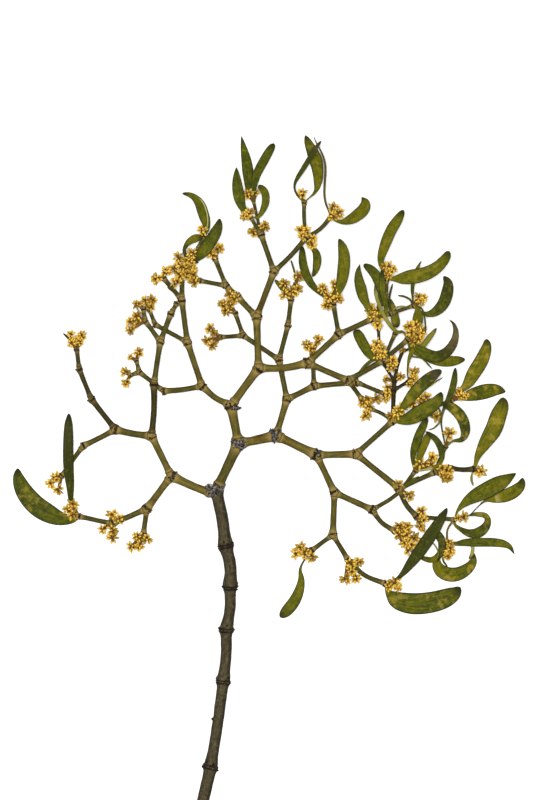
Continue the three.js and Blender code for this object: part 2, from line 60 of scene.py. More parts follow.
AT = {
    "cut": (-52.8, -255, 4.8),
    "ringA": (-44.6, -219, 5.6),
    "ringB": (-35.2, -155, 5.8),
    "ringC": (-33, -116, 7),
    "ringD": (-30, -84, 8.4),
    "ringE": (-33.4, -52.5, 10.4),
    "crown": (-40.5, -11.2, 13),
    "crownLeft": (-42.6, -13.5, 13),
    "leftFork": (-74.2, 0, 15),
    "leftHigh": (-88.9, 30, 18),
    "leftTop": (-87, 69.4, 24),
    "leftCrest": (-82.3, 100.7, 25),
    "leftCrestTip": (-74.2, 121.9, 27),
    "leftCrestEnd": (-69.8, 129.5, 24),
    "leftCrestSide": (-93.5, 116.2, 28),
    "leftCrestUp": (-94.9, 125.5, 29),
    "armBend": (-116.2, 34.9, 15),
    "armHigh": (-134.2, 57.7, 17),
    "armTop": (-143.2, 80.2, 18),
    "armEnd": (-145.1, 95, 18),
    "armLow": (-140.6, 22.5, 13),
    "armLowEnd": (-156.7, 0, 9),
    "leftLow": (-92.6, -24.7, 11),
    "leftLowBend": (-118.5, -36, 9),
    "leftLowEnd": (-144, -30.4, 9),
    "leftDrop": (-95.2, -43.5, 8),
    "middleFork": (-23.7, 24.5, 17),
    "centreLow": (-29.2, 52.9, 20),
    "centreMid": (-8.6, 81, 26),
    "centreHigh": (-10.1, 119.2, 30),
    "centreTop": (2.9, 153, 33),
    "centreCrest": (-6.7, 180.7, 31),
    "centreEnd": (-12.4, 206, 26),
    "centreSide": (-14.5, 193.5, 34),
    "topRight": (27.3, 178.5, 34),
    "topRightUp": (25.5, 204.7, 30),
    "topRightOut": (45.4, 193.9, 36),
    "backLow": (-51, 67.5, 22),
    "backHigh": (-62, 100.3, 26),
    "backTop": (-66.1, 132, 31),
    "backEnd": (-65.7, 150, 32),
    "backSide": (-80, 148.5, 29),
    "backTwig": (-55.7, 161.2, 27),
    "backTwigMid": (-54.7, 169.5, 26),
    "backTwigEnd": (-49.2, 179.8, 25),
    "underLow": (-79.9, 63.7, 15),
    "underMid": (-98.2, 78, 17),
    "underUp": (-100.4, 87, 18),
    "underOut": (-105.2, 75.4, 16),
    "crossLow": (-86.2, 113.6, 19),
    "crossUp": (-90.4, 124.4, 21),
    "innerLow": (-24.7, 134.6, 31),
    "innerMid": (-33, 142.5, 32),
    "innerUp": (-41.2, 163, 30),
    "innerSide": (-52.5, 146.2, 34),
    "rightFork": (4.5, 30.4, 16),
    "rightMid": (12.7, 57.5, 16),
    "rightBack": (6.7, 87.4, 17),
    "rightBackLeft": (-20.2, 105.4, 19),
    "rightBackUp": (-26.2, 122.5, 21),
    "rightBackOut": (-36.8, 104.2, 18),
    "budShoot": (13.5, 113.2, 22),
    "budShootUp": (15.7, 132.4, 26),
    "budShootEnd": (19.2, 144, 27),
    "lowFork": (33, 67.5, 17),
    "lowForkUp": (31.8, 92, 18),
    "lowForkOut": (65.1, 70.3, 17),
    "lowForkEnd": (86.4, 61.4, 18),
    "farFork": (28.1, 84.7, 26),
    "farHigh": (51.4, 106.1, 30),
    "farHighUp": (47.2, 129, 33),
    "farHighOut": (76.5, 117.7, 34),
    "farUpMid": (86.4, 134, 38),
    "farUpEnd": (87.2, 147, 40),
    "farSideMid": (90, 121.6, 36),
    "farSideEnd": (107, 127.4, 38),
    "farLow": (58.5, 71.6, 28),
    "farLowDown": (68.4, 58.2, 24),
    "farEdge": (84.7, 86.6, 30),
    "farEdgeUp": (103, 102.2, 34),
    "farEdgeIn": (93.5, 106.6, 28),
    "farEdgeNorth": (81.2, 109.5, 26),
    "sideFork": (34.9, 15.7, 16),
    "sideMid": (64.5, 16.5, 19),
    "sideHigh": (91.9, 41.2, 24),
    "sideHighUp": (93.2, 71.2, 21),
    "sideHighTop": (99, 93, 22),
    "sideTopArm": (107, 96.6, 25),
    "sideStub": (92.7, 64.4, 21.4),
    "sideRightEnd": (103.2, 70.6, 22),
    "sideLeftEnd": (85.4, 83.4, 27),
    "sideHighIn": (76, 50.2, 21),
    "sideOutMid": (113.4, 48.6, 22),
    "sideOutEnd": (136.2, 56.5, 24),
    "lowOut": (96.7, -9.4, 22),
    "lowOutDown": (110.2, -30.7, 21),
    "lowOutEnd": (138.7, -32.6, 20),
    "lowOutTip": (133, -48.5, 13),
    "lowOutUp": (123.4, 2.8, 21),
    "lowOutFar": (134, 6.2, 22),
    "lowOutFarEnd": (153, 5.2, 20),
    "lowOutNorth": (131.4, 22, 25),
    "bottomFork": (48.4, -12.4, 14),
    "bottomOut": (76.9, -25.5, 13),
    "bottomOutEnd": (93.7, -41.4, 11),
    "bottomUnder": (109.1, 3.7, 14),
    "bottomLow": (47.2, -44.2, 11),
    "bottomLowLeft": (31.4, -56, 9),
    "bottomLowRight": (58.5, -63, 8),
    "bottomEnd": (87, -81.2, 7),
}

# Each length of shoot runs between two forks, with its radius and, where it is bowed, how far.
SHOOTS = {
    "stem_main": [
        ("cut", "ringA", 4.1), ("ringA", "ringB", 3.7, -0.4), ("ringB", "ringC", 3.7, -1),
        ("ringC", "ringD", 3.7, -1.4), ("ringD", "ringE", 4.1, -1.8), ("ringE", "crown", 4, -1),
    ],
    "shoot_centre": [
        ("crown", "middleFork", 3.2), ("middleFork", "centreLow", 2.9),
        ("centreLow", "centreMid", 2.6), ("centreMid", "centreHigh", 2.3),
        ("centreHigh", "centreTop", 2), ("centreTop", "centreCrest", 1.7),
        ("centreCrest", "centreEnd", 1.05), ("centreCrest", "centreSide", 1.2),
    ],
    "shoot_left": [
        ("crownLeft", "leftFork", 2.7, 0.7), ("leftFork", "leftHigh", 2.2),
        ("leftHigh", "leftTop", 2, -0.9), ("leftTop", "leftCrest", 1.8),
        ("leftCrest", "leftCrestTip", 1.7), ("leftCrestTip", "leftCrestEnd", 1.4),
        ("leftCrest", "leftCrestSide", 1.5), ("leftCrestSide", "leftCrestUp", 1.3),
    ],
    "shoot_left_arm": [
        ("leftHigh", "armBend", 2.2, 0.8), ("armBend", "armHigh", 1.8), ("armHigh", "armTop", 1.6),
        ("armTop", "armEnd", 1.4),
    ],
    "shoot_left_arm_low": [("armBend", "armLow", 1.8, 0.3), ("armLow", "armLowEnd", 1.5)],
    "shoot_left_low": [
        ("leftFork", "leftLow", 2.3), ("leftLow", "leftLowBend", 1.9),
        ("leftLowBend", "leftLowEnd", 1.6), ("leftLow", "leftDrop", 1.6),
    ],
    "shoot_back": [
        ("centreLow", "backLow", 2, 1.8), ("backLow", "backHigh", 2), ("backHigh", "backTop", 1.8),
        ("backTop", "backEnd", 1.6), ("backTop", "backSide", 1.5),
    ],
    "shoot_back_tip": [
        ("backEnd", "backTwig", 1.4), ("backTwig", "backTwigMid", 1.3),
        ("backTwigMid", "backTwigEnd", 1.2),
    ],
    "shoot_under": [
        ("backLow", "underLow", 1.8, 0.8), ("underLow", "underMid", 1.5),
        ("underMid", "underUp", 1.3), ("underMid", "underOut", 1.3),
    ],
    "shoot_cross": [("backHigh", "crossLow", 1.5), ("crossLow", "crossUp", 1.3)],
    "shoot_inner": [
        ("centreHigh", "innerLow", 1.9), ("innerLow", "innerMid", 1.7),
        ("innerMid", "innerUp", 1.5), ("innerMid", "innerSide", 1.4),
    ],
    "shoot_top_right": [
        ("centreTop", "topRight", 1.6, -0.8), ("topRight", "topRightUp", 1.3, 0.9),
        ("topRight", "topRightOut", 1.4, -1.8),
    ],
    "shoot_right": [
        ("middleFork", "rightFork", 3, -0.4), ("rightFork", "rightMid", 2.1),
        ("rightMid", "rightBack", 1.8), ("rightBack", "rightBackLeft", 1.6),
        ("rightBackLeft", "rightBackUp", 1.4), ("rightBackLeft", "rightBackOut", 1.4),
    ],
    "shoot_bud": [
        ("rightBack", "budShoot", 1.6), ("budShoot", "budShootUp", 1.5),
        ("budShootUp", "budShootEnd", 1.2),
    ],
    "shoot_low_fork": [
        ("rightMid", "lowFork", 1.9), ("lowFork", "lowForkOut", 1.8),
        ("lowForkOut", "lowForkEnd", 1.4), ("lowFork", "lowForkUp", 1.5),
    ],
    "shoot_far": [
        ("centreMid", "farFork", 2.4, -1.9), ("farFork", "farHigh", 2),
        ("farHigh", "farHighOut", 1.8), ("farHigh", "farHighUp", 1.5),
    ],
    "shoot_far_tip": [
        ("farHighOut", "farUpMid", 1.5), ("farUpMid", "farUpEnd", 1.3),
        ("farHighOut", "farSideMid", 1.4), ("farSideMid", "farSideEnd", 1.3),
    ],
    "shoot_far_low": [
        ("farFork", "farLow", 2), ("farLow", "farEdge", 1.8), ("farEdge", "farEdgeUp", 1.6),
        ("farEdge", "farEdgeIn", 1.3), ("farLow", "farLowDown", 1.4),
        ("farEdge", "farEdgeNorth", 1, 1.2),
    ],
    "shoot_side": [
        ("rightFork", "sideFork", 2.8), ("sideFork", "sideMid", 2.3), ("sideMid", "sideHigh", 1.8),
        ("sideHigh", "sideStub", 1.45), ("sideStub", "sideHighUp", 1.35),
        ("sideHighUp", "sideHighTop", 1.15, 0.8), ("sideHigh", "sideHighIn", 1.2, -1),
        ("sideHighTop", "sideTopArm", 0.8), ("sideStub", "sideRightEnd", 1.1),
        ("sideHighUp", "sideLeftEnd", 0.95),
    ],
    "shoot_side_out": [("sideHigh", "sideOutMid", 1.5), ("sideOutMid", "sideOutEnd", 1.3)],
    "shoot_low_out": [
        ("sideMid", "lowOut", 2), ("lowOut", "lowOutDown", 1.7, -2),
        ("lowOutDown", "lowOutEnd", 1.4), ("lowOutEnd", "lowOutTip", 0.7, -2.8),
    ],
    "shoot_low_out_high": [
        ("lowOut", "lowOutUp", 1.6), ("lowOutUp", "lowOutFar", 1.4),
        ("lowOutFar", "lowOutFarEnd", 1.6, -0.9), ("lowOutUp", "lowOutNorth", 1.3),
    ],
    "shoot_bottom": [
        ("sideFork", "bottomFork", 2.1), ("bottomFork", "bottomOut", 2),
        ("bottomOut", "bottomOutEnd", 1.6, -2.2), ("bottomOut", "bottomUnder", 1.4, -3.6),
    ],
    "shoot_bottom_low": [
        ("bottomFork", "bottomLow", 2), ("bottomLow", "bottomLowRight", 1.6),
        ("bottomLowRight", "bottomEnd", 1.65, -3.2), ("bottomLow", "bottomLowLeft", 1.5),
    ],
}

# Leaf: name, fork, width, roll in degrees, tone, how far it has aged from 0 to 1, outline, and the
# middle line to its tip. Tone runs from dark green 0 through olive 0.4 and yellow-olive 0.8 to
# pale 1, and below -0.2 it is withered. Width, roll and tone may be lists spaced along the leaf.
# Each of these has a solid in the CAD.
LEAVES = [
    ("leaf_left_upright", "leftLowEnd", [1.4, 2.6, 4.8, 6.8, 8.4, 9.1, 9.2, 9, 8.7, 8.2,
     5.9], -25, [0.05, 0.05, 0, -0.08, -0.08], 0, "even",
     [(-149.2, -20.7, 10), (-150, -9, 12), (-151.1, 5.2, 14.5), (-151.2, 25, 18),
      (-150.7, 47, 22)]),
    ("leaf_left_broad", "leftLowEnd", 15.4, 4, 0.3, 0.5, "broad",
     [(-147, -33.1, 6.5), (-156.6, -32.6, 4), (-164, -30, 2.4), (-176.4, -22.3, 1.3),
      (-185.6, -11.2, 1.4), (-189.6, -1, 2.6), (-190, 5.6, 4)]),
    ("leaf_top_bent", "backTwigEnd", [2, 2.6, 6, 8.4, 8.8, 8.8, 7.6, 5.6, 4.2, 3], 20, 0.42,
     0.1, "even",
     [(-47, 184.6, 28), (-49.4, 194.6, 31), (-53.6, 205, 34.4), (-58.4, 209.6, 35),
      (-65.8, 211.6, 35)]),
    ("leaf_top_slim", "centreSide", 9.2, -15, 0.3, 0.1, "lance",
     [(-20.6, 201, 36), (-23.6, 212, 37), (-24.8, 221, 36), (-25.2, 231.1, 33)]),
    ("leaf_top_tall", "centreEnd", 8.8, 4, 0.3, 0, "lance",
     [(-15.8, 212, 24), (-16.2, 224, 15), (-17.6, 236, 7), (-20, 248, 1.6), (-21.6, 256, 0.9)]),
    ("leaf_top_spread", "centreEnd", 8.2, -30, 0.3, 0, "blunt",
     [(-12, 214, 28), (-9.6, 226, 30), (-3.9, 237, 31), (3, 249, 30)]),
    ("leaf_crest_flat", "topRightUp", [1.2, 1.2, 3, 6.6, 8.2, 9.6, 10.8, 10, 8.4, 7, 4.2],
     12, [0.4, 0.4, 0.6, 0.5, 0.5, 0.5, 0.3, 0.45, 0.35], 0.3, "even",
     [(28.9, 207.9, 29.6), (34.2, 213.2, 28), (35.6, 219.2, 26), (36, 224, 24), (35.4, 231.1, 20),
      (34.2, 237.3, 16), (32, 243.1, 12), (29.8, 248.2, 8.6), (26.6, 256.4, 3)]),
    ("leaf_crest_side", "topRightOut", [1.2, 1.6, 2.8, 5.6, 8, 9.4, 10, 10.2, 9.6, 7.4, 2],
     20, 0.6, 0.1, "even",
     [(48.4, 191.2, 36.5), (53.4, 190, 37), (59.4, 191.6, 38), (65.5, 195.5, 37.4),
      (70.2, 200.2, 36), (71, 204.8, 34.6), (68.4, 208.8, 33)]),
    ("leaf_far_upright", "farUpEnd", 9.2, 20, 0.6, 0.2, "strap",
     [(82.5, 160, 43.5), (85.2, 171.6, 46), (90.5, 184.2, 47), (94.5, 190.4, 47.5),
      (99.5, 198.6, 48)]),
    ("leaf_far_outer", "farUpEnd", [1.2, 3.8, 8.8, 11.2, 11.6, 11.1, 10.5, 9.7, 8.8, 8.4, 8],
     -12, 0.6, 0.35, "even",
     [(91.8, 147.4, 42), (98, 147.6, 43.5), (104.3, 148.6, 44.6), (111.7, 149.8, 45.6),
      (118, 151.9, 46), (124.3, 155.7, 46), (128.6, 159.9, 45.5), (131.3, 163.5, 44.4),
      (133.3, 168.2, 43)]),
    ("leaf_far_bright", "farHighOut", [2, 4, 5.6, 8, 8.8, 7.6, 5.2, 1.4], -10, [0.6, 0.6,
     0.55, 0.45, 0.35, 0.3], 0.1, "even",
     [(75.2, 122.5, 36), (72.6, 127.6, 38), (69.8, 133.4, 40), (68, 139.7, 42), (66.2, 147.1, 43),
      (66, 154, 43), (67.2, 158.6, 43)]),
    ("leaf_crest_right", "farHighUp", [2, 3.4, 6, 8.2, 9.6, 10, 9.8, 9, 7.4, 4.6], 15, 0.6,
     0.1, "even",
     [(52.4, 142, 37), (54.5, 152.7, 39), (55.2, 164, 40), (53.8, 171.6, 39), (51.4, 177.6, 38)]),
    ("leaf_curved_grey", "farSideEnd", [1.4, 1.6, 3.6, 6.6, 8.6, 9.6, 9.8, 9.4, 8, 5], 12,
     [0.2, 0.3, 0.3, 0.2, 0.1, -0.05, -0.2], 0.2, "even",
     [(115.4, 121.3, 37), (122.2, 122.3, 36.4), (129, 128.6, 35), (132.5, 137.6, 32),
      (132.9, 145, 30), (129.8, 149.7, 29)]),
    ("leaf_edge_curved", "farEdgeUp", [2, 5, 8.4, 9.4, 9, 8, 7, 5.4, 3.6, 1.2], -12, [0.4,
     0.5, 0.35, 0, -0.2, -0.28, -0.3], 0.2, "even",
     [(110.8, 95.3, 34), (116.9, 91.3, 32.5), (124.3, 89.2, 30), (131.7, 92.3, 27),
      (137.5, 99.7, 24), (139.3, 108.1, 22), (137.5, 114.4, 21.4), (134, 117.6, 21)]),
    ("leaf_edge_flat", "farEdgeUp", [1.6, 3, 4.6, 6, 7.2, 8, 8.4, 8.5, 8.3, 7.6, 5.2], 10,
     0.6, 0.1, "even",
     [(109, 93.4, 28), (116, 90.6, 26), (122, 88, 24.3), (128, 86.4, 22.6), (134.8, 86.1, 21.5),
      (141.1, 86.9, 20.5), (146.4, 87.5, 20)]),
    ("leaf_high_outer", "sideOutEnd", [1.4, 2, 3.8, 7.6, 9.9, 10.9, 11.2, 10.9, 10.1, 8.8,
     7.4], -10, 0.68, 0.8, "even",
     [(142.7, 63.9, 22), (147.4, 68.1, 21), (153.2, 77.6, 19), (159, 87.1, 17), (162.7, 97.6, 15),
      (162.4, 102.9, 14)]),
    ("leaf_low_outer", "sideOutEnd", [1.4, 2.4, 5, 8, 9.8, 11, 11.6, 11.5, 10.4, 8.6, 5], 4,
     [0.8, 0.8, 0.7, 0.35, 0.4, 0.5, 0.4], 1, "even",
     [(145.3, 59.2, 18.5), (153.8, 61.5, 11.5), (162.2, 63.5, 5), (170.6, 64.6, 1.8),
      (177.6, 63.2, 0.9)]),
    ("leaf_side_flat", "sideHigh", 12.2, -8, 0.4, 0.3, "broad",
     [(97.5, 41.5, 27), (102.3, 42.5, 28.5), (109.5, 45.8, 30.5), (117.6, 50.6, 31),
      (124.3, 55.4, 30.5), (127.2, 60.2, 29.5), (128.1, 63.1, 29)]),
    ("leaf_outer_tall", "lowOutFarEnd", 13.2, -12, 0.68, 0.7, "strap",
     [(153.9, 8.3, 20.6), (155.6, 14.6, 22), (161.3, 25, 24), (167.7, 35.3, 24.4),
      (171.1, 45, 23.4), (174.3, 53.6, 22), (174.5, 59, 21)]),
    ("leaf_inner_tall", "bottomUnder", 7.4, 22, 0.3, 0.1, "strap",
     [(107.8, 7.1, 16), (107.3, 16.7, 21), (109.5, 25.3, 24.4), (112.3, 32.9, 26),
      (116.2, 40.6, 25), (118.1, 43.5, 24)]),
    ("leaf_outer_flat", "lowOutEnd", [1.2, 1.6, 4.6, 8, 10.8, 12.6, 13.4, 13, 11, 7.4, 3.4],
     12, [0.6, 0.5, 0.4, 0.5, 0.5, 0.45], 0.2, "even",
     [(139.7, -27.4, 21.5), (144.6, -21.3, 23), (152.3, -15.5, 25), (161.7, -10.8, 25),
      (170.3, -6.2, 23.5), (177.5, -2.4, 21), (184.6, 2.1, 18)]),
    ("leaf_outer_folded", "lowOutEnd", [0.9, 0.9, 0.9, 0.9, 1.8, 7.6, 10.4, 10.8, 9.8, 7.2],
     -18, [-0.6, -0.6, -0.6, 0.3, 0.94, 0.75, 0.5, 0.4], 0.2, "even",
     [(148.7, -30.2, 18), (155, -24.2, 15), (161.6, -18.8, 13), (170.2, -16.9, 11),
      (177.4, -14.9, 9.6), (184.1, -11.6, 8.6), (188.9, -6.8, 8), (190.1, -1.5, 8)]),
    ("leaf_lower_dark", "bottomEnd", [1.4, 1.8, 4.4, 7, 9, 10, 10.2, 9.8, 9, 7.8, 4.6], 10,
     0.02, 0, "even",
     [(96.3, -76.9, 10), (106.7, -64.2, 14), (113.6, -54.5, 18), (124.7, -37.4, 24),
      (132.8, -23.8, 25)]),
    ("leaf_lower_cupped", "lowOutTip", [1.2, 1.2, 1.6, 7, 10.4, 11.6, 11.6, 10.6, 9, 7, 1.6],
     15, [0.3, 0.3, 0.3, 0.88, 0.5, 0.5, 0.4, 0.4, 0.5], 0.7, "even",
     [(129.5, -57, 10), (125.6, -63.5, 7.6), (127.4, -70.2, 5.6), (133.1, -73.8, 5),
      (139.8, -74.2, 4.6), (146.5, -71.4, 5), (151.6, -66.6, 6), (153.4, -61.5, 7),
      (153.2, -57.4, 8)]),
    ("leaf_bottom_broad", "bottomEnd", [1.4, 4, 12.6, 15.2, 16.4, 16.6, 16.4, 16, 15.2, 13.4,
     9.4], -3, 0.36, 0.6, "even",
     [(88.2, -87.4, 6), (91.4, -90.6, 4.6), (95.7, -93.7, 3.4), (102.4, -95.8, 2.4),
      (110.1, -96.5, 1.6), (119.1, -95.8, 1.2), (127.1, -94.1, 1.2), (133.8, -91.6, 1.4),
      (139.7, -88, 2.2), (143.3, -83.8, 3)]),
    ("leaf_bottom_hanging", "bottomLowLeft", [1.2, 1.3, 1.4, 2.2, 4.6, 6.6, 8.2, 9.2, 9.9,
     10.2, 9.4], 12, [0.3, -0.1, 0.5, 0.6, 0.45, 0.4, 0.4, 0.86], 0.2, "even",
     [(25, -64.7, 8), (22.6, -70.6, 6.4), (23.6, -77, 4.6), (22.9, -83.4, 3.4), (21, -89.4, 2.4),
      (18.2, -95, 1.8), (14, -100.4, 1.6), (9.8, -104.6, 1.4), (7.4, -106.6, 1.4)]),
]

